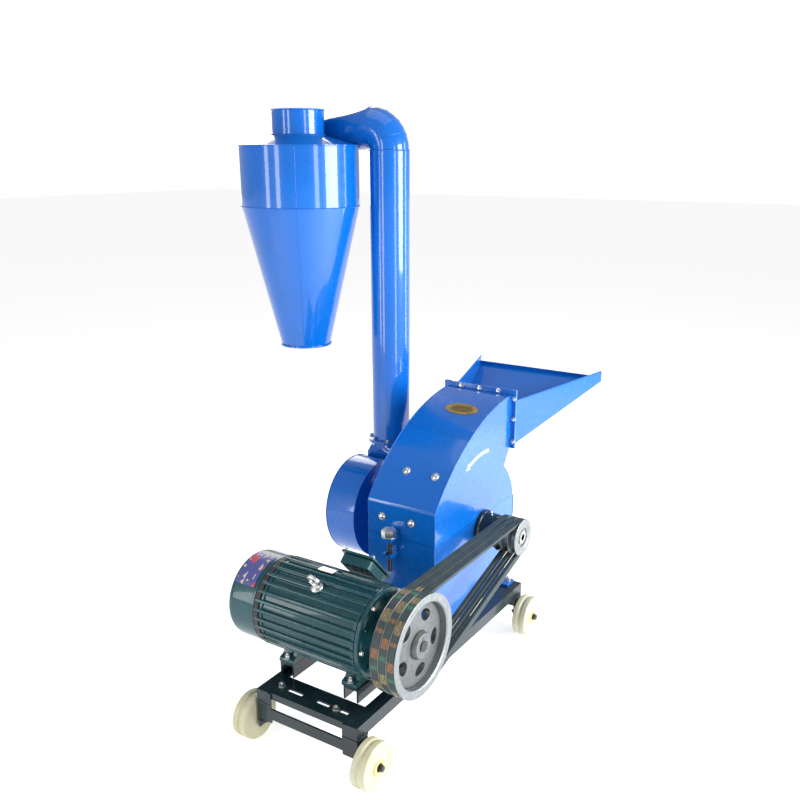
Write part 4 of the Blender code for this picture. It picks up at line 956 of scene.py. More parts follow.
class MILL_OT_drive(bpy.types.Operator):
    """Pulleys, their fastenings, and the three belts"""

    bl_idname = "mill.drive"
    bl_label = "Belt drive"

    def execute(self, context):
        s = context.scene.mill_drive
        x, z = MOTOR_AXIS
        rim = grooved(BIG_PULLEY, s.belt_depth) + [(127, INNER_FACE), (124, INNER_FACE - 3), (122, OUTER_FACE + 30),
                                                   (124, OUTER_FACE + 4), (128, OUTER_FACE)]
        piece("motor_pulley_rim", lathe(eased(rim, 0.8, 3), "y", MOTOR_AXIS, 144), "cast", "motor_rotor",
              "motor_pulley")
        web = [(36, -243), (100, -239), (123, -240), (123, -227), (100, -228), (36, -224)]
        disc = piece("motor_pulley_web", lathe(eased(web, 4), "y", MOTOR_AXIS, 120), "web", "motor_rotor")
        carve(disc, *[self.web_hole(62 + 360 / s.web_holes * number) for number in range(s.web_holes)])
        hub = eased([(19.4, INNER_FACE - 4), (40, INNER_FACE - 4), (40, -222), (42, -246), (36, OUTER_FACE + 3),
                     (19.4, OUTER_FACE + 3)], 2.5)
        key = block((x - 5, OUTER_FACE + 2, z + 15), (x + 5, -230, z + 25))
        piece("motor_pulley_hub", together(lathe(hub, "y", MOTOR_AXIS, 72), key), "web", "motor_rotor")
        washer = [(0, OUTER_FACE + 3), (17, OUTER_FACE + 3), (17, OUTER_FACE + 0.5), (0, OUTER_FACE + 0.5)]
        piece("motor_shaft_washer", turning(washer, 0.6, "y", MOTOR_AXIS, 40), "dark_steel", "motor_rotor")
        small = grooved(SMALL_PULLEY, s.belt_depth) + [
            (22.3, INNER_FACE), (22.3, OUTER_FACE + 6), (29, OUTER_FACE + 6), (31, OUTER_FACE + 1),
            (43, OUTER_FACE + 2), (46, OUTER_FACE)]
        piece("rotor_pulley_wheel", lathe(eased(small, 0.8, 3), "y", ROTOR_AXIS, 96), "cast", "mill_rotor",
              "rotor_pulley")
        points, faces = turned_to(hex_bolt(22), (0, -1, 0), (ROTOR_AXIS[0], OUTER_FACE + 2.2, ROTOR_AXIS[1]))
        points[:, 1] = np.maximum(points[:, 1], span("v_belt_1")[0][1] - 2)
        piece("rotor_shaft_nut", (points, faces), "zinc", "mill_rotor")
        self.belts(s.belt_depth)
        return {"FINISHED"}

    def web_hole(self, degrees):
        """A cutter for one opening: an ellipse that is wider outwards, across = 25 sin a (1 + 0.16 cos a)."""
        turn, around = math.radians(degrees), circle(36)
        along, across = 84 + 17.5 * np.cos(around), 25 * np.sin(around) * (1 + 0.16 * np.cos(around))
        outline = np.stack([MOTOR_AXIS[0] + along * math.cos(turn) - across * math.sin(turn),
                            MOTOR_AXIS[1] + along * math.sin(turn) + across * math.cos(turn)], -1)
        return slab(outline, "y", -260, -210)

    def belts(self, depth, big_steps=90, small_steps=60):
        """Each belt's loop is two arcs and their outer tangents; a trapezoid with eased corners is carried round."""
        between = ROTOR_AXIS - MOTOR_AXIS
        distance, heading = np.linalg.norm(between), math.degrees(math.atan2(between[1], between[0]))
        big, small = BIG_PULLEY - BELT_SUNK, SMALL_PULLEY - BELT_SUNK
        wrap = math.degrees(math.acos((big - small) / distance))
        out_big = arc((0, 0), 1.0, heading + wrap, heading + 360 - wrap, big_steps)
        out_small = arc((0, 0), 1.0, heading - wrap, heading + wrap, small_steps)
        on_big, on_small = MOTOR_AXIS + out_big * big, ROTOR_AXIS + out_small * small
        t = np.linspace(0, 1, 42)[1:-1, None]
        lower, upper = on_big[-1] + (on_small[0] - on_big[-1]) * t, on_small[-1] + (on_big[0] - on_small[-1]) * t
        path = np.concatenate([on_big, lower, on_small, upper])
        normals = np.concatenate([out_big, np.repeat(out_big[-1:], len(t), 0), out_small,
                                  np.repeat(out_big[:1], len(t), 0)])
        section = eased([(-11, 0), (11, 0), (6.5, -depth), (-6.5, -depth)], 1.6)
        length = lengths(path)
        length /= length[-1] + np.linalg.norm(path[0] - path[-1])
        flat = path[:, None] + section[None, :, 1:] * normals[:, None]
        around = np.linspace(0, 1, len(section), endpoint=False)
        for number, (row, shift) in enumerate(zip(BELT_ROWS, BELT_SHIFTS), 1):
            rings = on_axis("y", row + section[None, :, 0], flat[..., 0], flat[..., 1])
            along = (length[:, None] + shift) % 1.0
            wrap_map = np.stack(np.broadcast_arrays(along, around[None]), -1).reshape(-1, 2)
            piece(f"drive_belt_{number}", stack(rings, True), "rubber", replaces=f"v_belt_{number}", wrap=wrap_map)


# ---------------------------------------------------------------- mill

# The mill's sheet: its two side faces in Y, its front, throat and joint line, and the sheet's thickness
NEAR_PLATE, FAR_PLATE, FRONT, THROAT, SPLIT, SHEET = -112.0, 132.0, 502.0, 996.0, 494.0, 4.0
LID_EDGE = SPLIT + 0.4
ROOF_CENTRE, ROOF_RADIUS, ROOF_START, ROOF_END = np.array([1035.0, 191.0]), 675.0, (969.0, 860.0), (FRONT, 602.0)
REAR_RADIUS = 228.0
THROAT_LOW, THROAT_HIGH, FLANGE_LOW, FLANGE_HIGH = 682.0, 860.0, 676.0, 880.0
HINGE, LUG = (1052.0, SPLIT), 7.6
FOOT_PLATE, HOUSING_WELD_Z = 187.5, 181.0
DOME_ROWS = ((38, -66), 690.0)
BADGE_ANGLE, BADGE_HALF = math.radians(107.0), (31.0, 60.0)
NEAR_FLANGE_Y, FAR_FLANGE_Y, THROAT_BOLT_Z = -122, 142, (700, 780, 850)


def roof_line(count=60):
    """The cover's back: an arc about a centre behind the mill, from the bend in the front up to the throat's top."""
    start, stop = (math.degrees(math.atan2(z - ROOF_CENTRE[1], x - ROOF_CENTRE[0]))
                   for x, z in (ROOF_START, ROOF_END))
    return arc(ROOF_CENTRE, ROOF_RADIUS, start, stop, count)[::-1]


def rear_line(start, stop, count):
    """The mill's rear: an arc about the rotor."""
    return arc(ROTOR_AXIS, REAR_RADIUS, start, stop, count)


class MILL_OT_housing(bpy.types.Operator):
    """Lower housing, hinged cover, welds, bolts, badge, arrow, clamp, bearings and the rotor's metal"""

    bl_idname = "mill.housing"
    bl_label = "Mill housing"

    def execute(self, context):
        s = context.scene.mill_housing
        self.lower(s.weld)
        self.cover(s.weld)
        self.domes(s.dome)
        self.clamp()
        self.plates()
        self.bearing("near", -1)
        self.bearing("far", 1)
        repaint("steel", "rotor_shaft", "rotor_disc_near", "rotor_disc_far", "bearing_near", "bearing_far",
                *[f"hammer_{kind}_{i}" for kind in ("pin", "row") for i in range(1, 5)])
        repaint("punched", "screen")
        repaint("zinc", "cover_hinge_pin")
        return {"FINISHED"}

    def lower(self, weld):
        """Welds and bolts of the lower housing: up the front, round the rear arc and along the foot."""
        repaint("blue", "mill_lower_housing")
        runs = []
        for y in (NEAR_PLATE, FAR_PLATE):
            foot = line((FRONT + 4, y, HOUSING_WELD_Z), (948, y, HOUSING_WELD_Z))
            runs += [bead(line((FRONT, y, 184), (FRONT, y, SPLIT - 3)), weld * 0.6, up=(0, 1, 0)),
                     side_seam(rear_line(-52, 11.4, 40), y, weld * 0.6), bead(foot, weld, up=(0, 1, 0))]
        piece("lower_housing_welds", together(*runs), "weld")
        bolts = [turned_to(hex_bolt(15, shank=4), (0, 0, 1), (x, y, FOOT_PLATE)) for x in (485, 976)
                 for y in (-134, 136)]
        piece("housing_foot_bolts", together(*bolts), "zinc")

    def cover(self, weld):
        """Cover: two side plates whose outline is the front, the bend, the roof arc, the throat and the rear arc."""
        roof, rear = roof_line(), rear_line(50, 11.5, 24)
        front = eased([(FRONT, SPLIT), (FRONT, 588), tuple(roof[0]), tuple(roof[3])], [0, 30, 10, 0], 7, False)
        rear[-1, 1] = max(rear[-1, 1], LID_EDGE)
        back = np.concatenate([[(FRONT, LID_EDGE)], front[2:-1], roof[3:], [(THROAT, THROAT_HIGH)]])
        rise = np.concatenate([[(THROAT, THROAT_LOW)], rear])
        outline = np.concatenate([back, rise])
        near, far = NEAR_PLATE + SHEET, FAR_PLATE - SHEET
        parts = [slab(outline, "y", NEAR_PLATE, near), slab(outline, "y", far, FAR_PLATE),
                 strip(back[::-1], SHEET, near, far), strip(rise, -SHEET, near, far)]
        y0, y1, y2, y3 = NEAR_PLATE - 16, NEAR_PLATE + 6, FAR_PLATE - 6, FAR_PLATE + 16
        for a, b, z0, z1 in ((y0, y1, FLANGE_LOW, FLANGE_HIGH), (y2, y3, FLANGE_LOW, FLANGE_HIGH),
                             (y1, y2, FLANGE_LOW, 690), (y1, y2, 848, FLANGE_HIGH)):
            parts.append(block((THROAT, a, z0), (THROAT + SHEET, b, z1)))
        parts.append(collar(7.4, 14, -43, 63, 1.2, "y", HINGE, 40))
        parts.append(block((HINGE[0] - 26, -43, SPLIT + 2), (HINGE[0] - 8, 63, SPLIT + 12)))
        cx, cy = middle("clamp_screw")[:2]
        for x0, x1, a, b in ((cx - 17, cx - LUG, cy - 16, cy + 16), (cx - LUG, FRONT + 2, cy - 16, cy - LUG),
                             (cx - LUG, FRONT + 2, cy + LUG, cy + 16), (cx + LUG, FRONT + 2, cy - LUG, cy + LUG)):
            parts.append(block((x0, a, LID_EDGE), (x1, b, SPLIT + 12)))
        piece("mill_cover_shell", together(*parts), "blue", "cover", "mill_cover", angle=24)
        runs = [side_seam(back, y, weld * 0.55) for y in (NEAR_PLATE, FAR_PLATE)]
        x = THROAT - 1
        runs += [bead(line((x, y, 684), (x, y, 858)), weld, up=(0, 1, 0)) for y in (NEAR_PLATE, FAR_PLATE)]
        runs.append(bead(line((x, NEAR_PLATE, 861), (x, FAR_PLATE, 861)), weld, up=(1, 0, 0)))
        piece("cover_welds", together(*runs), "weld", "cover")

    def domes(self, size):
        """Domed bolts: two on the front's flat, and two standing square to the roof's arc."""
        bolts = [turned_to(dome_bolt(size), (-1, 0, 0), (FRONT, y, 555)) for y in (80, -28)]
        rows, height = DOME_ROWS
        x = ROOF_CENTRE[0] - math.sqrt(ROOF_RADIUS ** 2 - (height - ROOF_CENTRE[1]) ** 2)
        lean = np.array([x - ROOF_CENTRE[0], 0, height - ROOF_CENTRE[1]]) / ROOF_RADIUS
        bolts += [turned_to(dome_bolt(size), lean, (x, y, height)) for y in rows]
        piece("cover_bolts", together(*bolts), "zinc", "cover")

    def clamp(self):
        """The clamp's six-sided nut with its washer and nose, and a thread whose radius is a zigzag of its height."""
        low = span("clamp_screw")[0]
        centre = middle("clamp_screw")[:2]
        seat = SPLIT + 12.4
        nut = [(0, seat + 3), (23, seat + 3), (25, seat + 5), (25, seat + 19), (21, seat + 25), (0, seat + 25)]
        knob = together(
            turning([(0, seat), (24, seat), (24, seat + 3), (0, seat + 3)], 0.8, "z", centre, 40),
            lathe(nut, "z", centre, 6, False),
            turning([(0, seat + 20), (9, seat + 20), (9, seat + 25.6), (0, seat + 26)], 1, "z", centre, 24))
        length = np.linspace(low[2], seat + 4, 260)
        ridge = 6.6 + 0.5 * np.abs((length / 2.5) % 2 - 1)
        thread = np.concatenate([[(0, low[2])], np.stack([ridge, length], -1), [(0, seat + 4)]])
        piece("clamp_nut", knob, "zinc", "clamp", "clamp_screw")
        piece("clamp_thread", lathe(thread, "z", centre, 24, False), "dark_steel", "clamp")

    def plates(self):
        """Blank badge with raised bars, painted arrow, and the throat's flange bolts."""
        out = np.array([math.cos(BADGE_ANGLE), 0, math.sin(BADGE_ANGLE)])
        spot = np.array([ROOF_CENTRE[0], -10, ROOF_CENTRE[1]]) + out * ROOF_RADIUS
        badge = [(0, 0), (1, 0), (1, 1.4), (0.86, 1.4), (0.84, 0.9), (0, 0.9)]
        points, faces = turning(badge, 0.03, "z", (0, 0), 56)
        piece("maker_plate", turned_to((points * (*BADGE_HALF, 1), faces), out, spot), "brass", "cover")
        bars = []
        for row in range(-2, 3):
            half = 40 * math.sqrt(1 - (row / 3.2) ** 2)
            bars.append(block((row * 7 - 1.6, -half, 0.8), (row * 7 + 1.6, half, 1.5)))
        piece("maker_plate_relief", turned_to(together(*bars), out, spot), "etched", "cover")
        piece("turning_arrow", self.arrow(), "white", "cover")
        spots = [(y, z) for y in (NEAR_FLANGE_Y, FAR_FLANGE_Y) for z in THROAT_BOLT_Z]
        spots += [(y, 871) for y in (-62, 10, 82)]
        bolts = [turned_to(hex_bolt(11), (-1, 0, 0), (THROAT, y, z)) for y, z in spots]
        piece("throat_bolts", together(*bolts), "zinc", "cover")

    def arrow(self, start=84.0, stop=112.0, radius=266.0, half=5.0):
        """A raised paint arrow: an arc of even width about the rotor, ending in a triangle."""

        def corner(reach, degrees):
            return arc(ROTOR_AXIS, radius + reach, degrees, degrees, 1)

        outer, inner = (arc(ROTOR_AXIS, radius + reach, start, stop, 24) for reach in (half, -half))
        head = [corner(half * 2.4, stop), corner(0, stop + 5), corner(-half * 2.4, stop)]
        return slab(np.concatenate([outer, *head, inner[::-1]]), "y", NEAR_PLATE - 0.6, NEAR_PLATE + 1)

    def bearing(self, name, side):
        """Cast flange housing: a lathe profile with four cap screws and a grease nipple."""
        low, high = span(f"bearing_housing_{name}")
        face = high[1] if side < 0 else low[1]
        profile = [(34, 0), (62, 0), (62, 12), (57, 15), (55, 54), (49, 61), (38, 61), (34, 55)]
        casting = lathe(eased([(r, face + side * depth) for r, depth in profile], 2.5), "y", ROTOR_AXIS, 96)
        piece(f"bearing_casting_{name}", casting, "black", replaces=f"bearing_housing_{name}")
        screws = bolt_ring(hex_bolt(8, False), "y", side, face + side * 60, ROTOR_AXIS, 46, 4, 45)
        nipple = turning([(0, 0), (4.5, 0), (4.5, 4), (3, 6), (3, 10), (4, 12), (2.5, 15), (0, 15)], 0.8, "z",
                         (0, 0), 20)
        spot = (ROTOR_AXIS[0] - 6, face + side * 36, ROTOR_AXIS[1] + 54)
        piece(f"bearing_fastenings_{name}", together(*screws, turned_to(nipple, (-0.2, 0, 1), spot)), "zinc")


# ---------------------------------------------------------------- feed

HEM_LOW, HEM_HIGH, HEM_RADIUS, HEM_INSET = 837.0, 874.0, 2.6, 3.4


class MILL_OT_feed(bpy.types.Operator):
    """Hopper tray with hemmed edges, its welds and the gate"""

    bl_idname = "mill.feed"
    bl_label = "Feed hopper"

    def execute(self, context):
        weld = context.scene.mill_housing.weld
        repaint("blue", "feed_hopper", "feed_gate")
        low, high = span("feed_hopper")
        start, mouth = THROAT + 12, high[0]
        hems, welds = [], []
        for side, plate, lip in ((-1, NEAR_PLATE, low[1]), (1, FAR_PLATE, high[1])):
            edge = line((start + 2, plate + side * 2, HEM_LOW), (mouth - 2, lip - side * HEM_INSET, HEM_HIGH), 8)
            hems.append(carried(ring_section(HEM_RADIUS, 10), edge, up=(0, 1, 0)))
            foot = line((start + 1, plate + side * 3, THROAT_LOW), (start + 1, plate + side * 3, 836))
            welds.append(bead(foot, weld, up=(0, 1, 0)))
        piece("hopper_hems", together(*hems), "blue", "cover")
        piece("hopper_welds", together(*welds), "weld", "cover")
        return {"FINISHED"}


# ---------------------------------------------------------------- blower and pipe

OUTLET, NECK = 604.0, 644.0
CASING_NEAR, CASING_FAR, EYE_RADIUS, BLOWER_SHEET = 290.0, 408.0, 78.0, 3.0
VOLUTE_TURNS, VOLUTE_RADII = (60.0, 360.0), (152.0, 213.0)
PIPE_RADIUS, PIPE_BORE, FLANGE_RADIUS, FLANGE_BOLTS = 67.0, 64.5, 84.0, 75.5
MITRES = (11.0, 23.0, 34.0, 45.0, 56.0, 67.0, 79.0)
BEND_RADIUS, ELBOW_RADIUS, ELBOW_WALL = 70.0, 65.0, 2.5
DUCT_LOW, DUCT_HIGH, DUCT_HALF_WIDTH, DUCT_SECTION = 1630.0, 1742.0, 52.5, 56.0
RING_POINTS = 96


def volute(count=120):
    """The scroll: radius rises evenly with the angle from the tongue round, then both walls run up to the outlet."""
    turn = np.linspace(*VOLUTE_TURNS, count)
    radius = np.interp(turn, VOLUTE_TURNS, VOLUTE_RADII)
    out = np.stack([np.cos(np.radians(turn)), np.sin(np.radians(turn))], -1)
    curve = ROTOR_AXIS + radius[:, None] * out
    return np.concatenate([curve, [(curve[-1, 0], OUTLET), (curve[0, 0], OUTLET)]])


def morph(first, last, t):
    """Part of the way from one ring to another."""
    return first * (1 - t) + last * t


def square_ring(centre, half_x, half_y, count=RING_POINTS, power=2):
    """A rounded rectangle as a superellipse: |x|^n + |y|^n = 1, scaled to its two half widths."""
    c, s = np.cos(circle(count)), np.sin(circle(count))
    reach = (np.abs(c) ** power + np.abs(s) ** power) ** (-1 / power)
    return np.stack([centre[0] + half_x * reach * c, centre[1] + half_y * reach * s], -1)


def bend_ring(radius, degrees):
    """The elbow's round section after it has turned some way from the upright pipe towards the cyclone."""
    c, s = math.cos(math.radians(degrees)), math.sin(math.radians(degrees))
    u, v = radius * np.cos(circle(RING_POINTS)), radius * np.sin(circle(RING_POINTS))
    top = span("delivery_pipe")[1][2]
    return np.column_stack([PIPE_AXIS[0] + u, PIPE_AXIS[1] + BEND_RADIUS * (1 - c) + v * c,
                            top + BEND_RADIUS * s - v * s])


def duct_ring(y, wall, drop=0.0):
    """The level duct's square section at one Y, its roof lowered by drop."""
    ring = square_ring((PIPE_AXIS[0], 0), DUCT_HALF_WIDTH - wall, DUCT_SECTION - wall, power=12)
    high, low = DUCT_HIGH - wall - drop, DUCT_LOW + wall
    rise = (high + low) / 2 - ring[:, 1] / (DUCT_SECTION - wall) * (high - low) / 2
    return np.column_stack([ring[:, 0], np.full(RING_POINTS, y), rise])


def fine(ring, parts=5):
    """A closed ring with more points: each side is shared out evenly."""
    t = np.linspace(0, 1, parts, endpoint=False)[None, :, None]
    return morph(ring[:, None], np.roll(ring, -1, 0)[:, None], t).reshape(-1, 3)


class MILL_OT_blower(bpy.types.Operator):
    """Blower casing, neck, suction duct, delivery pipe, elbow and inlet duct"""

    bl_idname = "mill.blower"
    bl_label = "Blower and pipe"

    def execute(self, context):
        self.casing()
        self.pipe()
        self.elbow()
        repaint("blue", "suction_duct")
        repaint("steel", "fan_impeller")
        return {"FINISHED"}

    def casing(self):
        """Casing: a plain cheek and one with an eye, a wrapper between them, and a neck from square to round."""
        near, far, sheet = CASING_NEAR, CASING_FAR, BLOWER_SHEET
        scroll, hull = volute(), volute(RING_POINTS - 2)
        out = hull - ROTOR_AXIS
        eye = ROTOR_AXIS + EYE_RADIUS * out / np.linalg.norm(out, axis=1, keepdims=True)
        inlet_cheek = stack([on_axis("y", y, ring[:, 0], ring[:, 1]) for y, ring in
                             ((near, hull), (near + sheet, hull), (near + sheet, eye), (near, eye))], True)
        parts = [slab(scroll, "y", far - sheet, far), inlet_cheek,
                 strip(scroll[:-1], sheet, near + sheet, far - sheet),
                 strip([scroll[-1], scroll[0]], sheet, near + sheet, far - sheet)]
        x0, x1 = scroll[-1][0], scroll[-2][0]
        centre, half_x, half_y = ((x0 + x1) / 2, (near + far) / 2), (x1 - x0) / 2, (far - near) / 2
        steps = np.linspace(0, 1, 12)
        neck = []
        for inner in (0.0, sheet):
            square = square_ring(centre, half_x - inner, half_y - inner, power=18)
            round_ring = square_ring(PIPE_AXIS, PIPE_RADIUS - inner, PIPE_RADIUS - inner)
            skin = [np.column_stack([morph(square, round_ring, t ** 2 * (3 - 2 * t)),
                                     np.full(RING_POINTS, OUTLET - 4 + (NECK - OUTLET + 4) * t)]) for t in steps]
            neck += skin[::-1] if inner else skin
        parts += [stack(neck, True), collar(64, FLANGE_RADIUS, NECK - 6, NECK, 0.8, "z", PIPE_AXIS, 96)]
        piece("blower_casing", together(*parts), "blue", replaces="fan_casing", angle=26)
        edge = volute(500)[:-1]
        runs = [bead(on_axis("y", y, edge[:, 0], edge[:, 1]), 1.7, up=(0, 1, 0)) for y in (near + 0.3, far - 0.3)]
        ring = square_ring(centre, half_x, half_y, 420, 18)
        runs.append(bead(np.column_stack([ring, np.full(420, OUTLET - 1)]), 1.9, True))
        piece("blower_welds", together(*runs), "weld")
        boss = [(0, -1), (70, -1), (70, 4), (66, 6), (34, 6), (30, 12), (0, 12)]
        piece("blower_boss", turning([(r, far + rise) for r, rise in boss], 1.5, "y", ROTOR_AXIS, 96), "blue")
        bolt = hex_bolt(10)
        bolts = bolt_ring(bolt, "y", 1, far + 5.5, ROTOR_AXIS, 54, 6, 30)
        bolts += bolt_ring(bolt, "z", 1, NECK + 5.4, PIPE_AXIS, FLANGE_BOLTS, 8, 22.5)
        bolts += bolt_ring(bolt, "z", -1, NECK - 6, PIPE_AXIS, FLANGE_BOLTS, 8, 22.5)
        piece("pipe_flange_bolts", together(*bolts), "zinc")

    def pipe(self):
        """Pipe: a long tube with a flange, two rolled joints and one straight seam."""
        low, high = span("delivery_pipe")
        z0, z1, r = low[2], high[2], PIPE_RADIUS
        profile = [(PIPE_BORE, z0), (FLANGE_RADIUS, z0), (FLANGE_RADIUS, z0 + 5), (r + 0.4, z0 + 5.5), (r, z0 + 12),
                   (r, z1 - 2), (r, z1), (PIPE_BORE, z1)]
        piece("delivery_tube", lathe(eased(profile, 0.8, 3), "z", PIPE_AXIS, 128), "blue", replaces="delivery_pipe")
        seam = PIPE_AXIS + (r - 0.4) * np.array([math.cos(0.5), math.sin(0.5)])
        runs = [bead(hoop(z0 + 6, PIPE_AXIS, r + 0.5), 1.9, True), bead(hoop(z1 - 1, PIPE_AXIS, r), 1.7, True),
                bead(line((*seam, z0 + 8), (*seam, z1 - 2), 1.6), 1.2, up=(1, 0, 0))]
        piece("pipe_welds", together(*runs), "weld")

    def elbow(self):
        """Elbow: circles on the mitre planes, then the level duct, whose section turns from round to square."""
        end, top = span("inlet_duct")[1][1], span("delivery_pipe")[1][2]
        skins = []
        for wall in (0.0, ELBOW_WALL):
            r = ELBOW_RADIUS - wall
            foot = np.column_stack([square_ring(PIPE_AXIS, r, r), np.full(RING_POINTS, top + 0.4)])
            rings = [foot] + [bend_ring(r, degrees) for degrees in (*MITRES, 90)]
            first, last = rings[-1], duct_ring(PIPE_AXIS[1] + BEND_RADIUS + 160, wall)
            rings += [morph(first, last, t) for t in np.linspace(0, 1, 12)[1:-1]]
            skins.append(rings + [last, duct_ring(end - wall, wall, 50)])
        made = piece("elbow_and_duct", stack(skins[0]), "blue", replaces="inlet_duct", angle=24)
        room = [(0, 1465), (198.2, 1465), (198.2, 1658.4), (86, 1690.4), (0, 1690.4)]
        carve(made, lathe(room, "z", CYCLONE_AXIS, 144, False), stack([skins[1][0] - (0, 0, 20)] + skins[1]))
        r = ELBOW_RADIUS + 0.2
        runs = [bead(fine(bend_ring(r, degrees)), 0.9, True, up=(0, 0.3, 1)) for degrees in MITRES[1::2]]
        runs.append(bead(fine(bend_ring(r, 90)), 0.9, True, up=(0, 1, 0)))
        piece("elbow_welds", together(*runs), "weld")


# ---------------------------------------------------------------- cyclone

DRUM_RADIUS, STUB_RADIUS, STUB_LOW, OUTLET_RADIUS, WALL = 198.0, 86.0, 1485.0, 90.0, 3.0
SEAM_ANGLE = math.radians(215)


class MILL_OT_cyclone(bpy.types.Operator):
    """Cyclone body, cone, lid and exhaust, with seams and rolled rims"""

    bl_idname = "mill.cyclone"
    bl_label = "Cyclone"

    def execute(self, context):
        axis, r = CYCLONE_AXIS, DRUM_RADIUS
        waist, rim, outlet = span("cyclone_body")[0][2], span("cyclone_lid")[1][2] - 32, span("cyclone_cone")[0][2]
        inlet = block((PIPE_AXIS[0] - 50, 380, 1632.5), (PIPE_AXIS[0] + 50, 655, DUCT_HIGH))
        carve(piece("cyclone_drum", collar(r - WALL, r, waist, rim - 3.4, 0.6, "z", axis, 160, 3), "blue",
                    replaces="cyclone_body"), inlet)
        lid = [(86.5, 1687), (r - 2, rim - 3), (r + 1.9, rim - 3), (r + 1.9, rim + 1), (r - 4, rim + 1.5),
               (86.5, 1690)]
        carve(piece("cyclone_top", lathe(eased(lid, 0.9, 3), "z", axis, 160), "blue", replaces="cyclone_lid"), inlet)
        top, bore, roll = span("cyclone_exhaust")[1][2], STUB_RADIUS - WALL, context.scene.mill_cyclone.rim
        rolled = arc((STUB_RADIUS, top - roll), roll, -90, 180, 10)
        stub = np.concatenate([[(bore, STUB_LOW), (STUB_RADIUS, STUB_LOW)], rolled, [(bore, top - 4)]])
        piece("cyclone_stub", lathe(stub, "z", axis, 128), "blue", replaces="cyclone_exhaust")
        top = span("cyclone_cone")[1][2]
        cone = [(83, outlet), (OUTLET_RADIUS, outlet), (OUTLET_RADIUS, outlet + 6), (86.4, outlet + 7), (r, top),
                (r - WALL, top), (83.3, outlet + 8)]
        piece("cyclone_hopper", lathe(eased(cone, 0.9, 3), "z", axis, 160), "blue", replaces="cyclone_cone")

        def seam(radius, z):
            return axis[0] + radius * math.cos(SEAM_ANGLE), axis[1] + radius * math.sin(SEAM_ANGLE), z

        runs = [bead(hoop(waist - 0.2, axis, r, 900), 1.6, True), bead(hoop(1690.5, axis, 87), 2.2, True),
                bead(line(seam(r - 0.4, waist), seam(r - 0.4, rim - 4)), 1.1, up=(1, 0, 0)),
                bead(line(seam(87, outlet + 10), seam(r - 0.6, top - 2)), 1.1, up=(1, 0, 0))]
        piece("cyclone_welds", together(*runs), "weld")
        return {"FINISHED"}


# ---------------------------------------------------------------- stage

FLOOR_REACH, FLOOR_Z, FLOOR_GLOW = 30.0, -0.0005, 0.53
STRIP_PLACES = ((-2.77, 1.6), (-2.9, 0.45), (-0.92, -2.47), (2.3, -1.8))
CAMERA_PLACE, CAMERA_DOWN, CAMERA_HEADING = (-1588, -1364, 1634), math.radians(18.43), math.radians(-57.405)
CAMERA_LENS, CAMERA_SHIFT = 39.53, (-0.014, 0.057)


def lamp(name, place_at, aim, size, power):
    """A soft rectangular lamp in metres, facing its aim and hidden from the camera."""
    data = bpy.data.lights.new(name, "AREA")
    data.shape, data.size, data.size_y, data.energy = "RECTANGLE", *size, power
    made = bpy.data.objects.new(name, data)
    bpy.context.scene.collection.objects.link(made)
    made.location = place_at
    made.rotation_euler = (Vector(aim) - Vector(place_at)).to_track_quat("-Z", "Y").to_euler()
    made.visible_camera = False


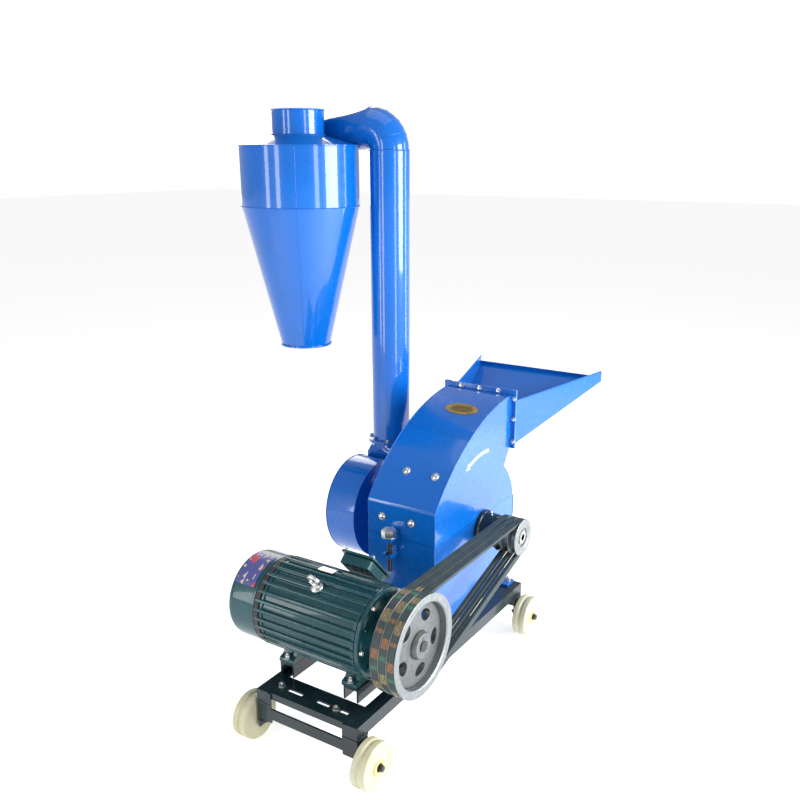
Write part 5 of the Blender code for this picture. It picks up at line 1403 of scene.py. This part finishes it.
class MILL_OT_stage(bpy.types.Operator):
    """Pale floor, soft lights and the camera"""

    bl_idname = "mill.stage"
    bl_label = "Stage"

    def execute(self, context):
        s = context.scene.mill_stage
        mesh, far = bpy.data.meshes.new("floor"), FLOOR_REACH
        mesh.from_pydata([(-far, -far, FLOOR_Z), (far, -far, FLOOR_Z), (far, far, FLOOR_Z), (-far, far, FLOOR_Z)], [],
                         [(0, 1, 2, 3)])
        floor = bpy.data.objects.new("floor", mesh)
        context.scene.collection.objects.link(floor)
        pale, t, shader = new_material("Pale floor")
        finish_shader(t, shader, Base_Color=(*s.floor, 1), Roughness=0.65, Emission_Color=(1, 1, 1, 1),
                      Emission_Strength=FLOOR_GLOW)
        mesh.materials.append(pale)
        world = bpy.data.worlds.new("Studio")
        world.use_nodes = True
        t, background = Tree(world.node_tree), world.node_tree.nodes["Background"]
        seen = t.add("ShaderNodeLightPath", {}).outputs["Is Camera Ray"]
        t.feed(background.inputs["Strength"], t.span(seen, 0, 1, s.sky, 1.0))
        t.feed(background.inputs["Color"], (1, 1, 1, 1))
        context.scene.world = world
        context.scene.view_settings.view_transform = "Standard"
        lamp("key", (0.9, -3.8, 1.7), (0.05, 0, 0.8), (2.0, 2.0), s.key)
        lamp("top", (0.1, 0.2, 4.3), (0.1, 0, 0.6), (2.6, 2.6), s.key * 0.1)
        lamp("back", (2.6, 2.6, 2.2), (0, 0, 0.9), (1.4, 2.0), s.key * 0.14)
        for number, (x, y) in enumerate(STRIP_PLACES):
            lamp(f"strip_{number}", (x, y, 1.3), (0.1, 0.2, 1.3), (0.42, 2.0), s.strips)
        data = bpy.data.cameras.new("camera")
        data.lens, data.sensor_width, (data.shift_x, data.shift_y) = CAMERA_LENS, 36, CAMERA_SHIFT
        camera = bpy.data.objects.new("camera", data)
        context.scene.collection.objects.link(camera)
        camera.location = place(CAMERA_PLACE)
        camera.rotation_euler = (math.radians(90) - CAMERA_DOWN, 0, CAMERA_HEADING)
        context.scene.camera = camera
        return {"FINISHED"}


class MILL_PT_panel(bpy.types.Panel):
    """Builders and settings of the hammer mill"""

    bl_idname = "MILL_PT_panel"
    bl_label = "Hammer Mill"
    bl_space_type = "VIEW_3D"
    bl_region_type = "UI"
    bl_category = "Hammer Mill"

    def draw(self, context):
        for group, kind in SETTINGS.items():
            column = self.layout.column(align=True)
            for title in kind.__annotations__:
                column.prop(getattr(context.scene, group), title)
        for builder in OPERATORS:
            self.layout.operator(builder.bl_idname)


OPERATORS = (MILL_OT_stage, MILL_OT_chassis, MILL_OT_motor, MILL_OT_drive, MILL_OT_housing, MILL_OT_feed,
             MILL_OT_blower, MILL_OT_cyclone)
CLASSES = (*SETTINGS.values(), *OPERATORS, MILL_PT_panel)


def register():
    for kind in CLASSES:
        bpy.utils.register_class(kind)
    for name, kind in SETTINGS.items():
        setattr(bpy.types.Scene, name, PointerProperty(type=kind))


def unregister():
    for name in SETTINGS:
        delattr(bpy.types.Scene, name)
    for kind in reversed(CLASSES):
        bpy.utils.unregister_class(kind)


def main():
    """Registers the classes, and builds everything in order."""
    register()
    for builder in OPERATORS:
        group, name = builder.bl_idname.split(".")
        getattr(getattr(bpy.ops, group), name)()


if __name__ == "__main__":
    main()
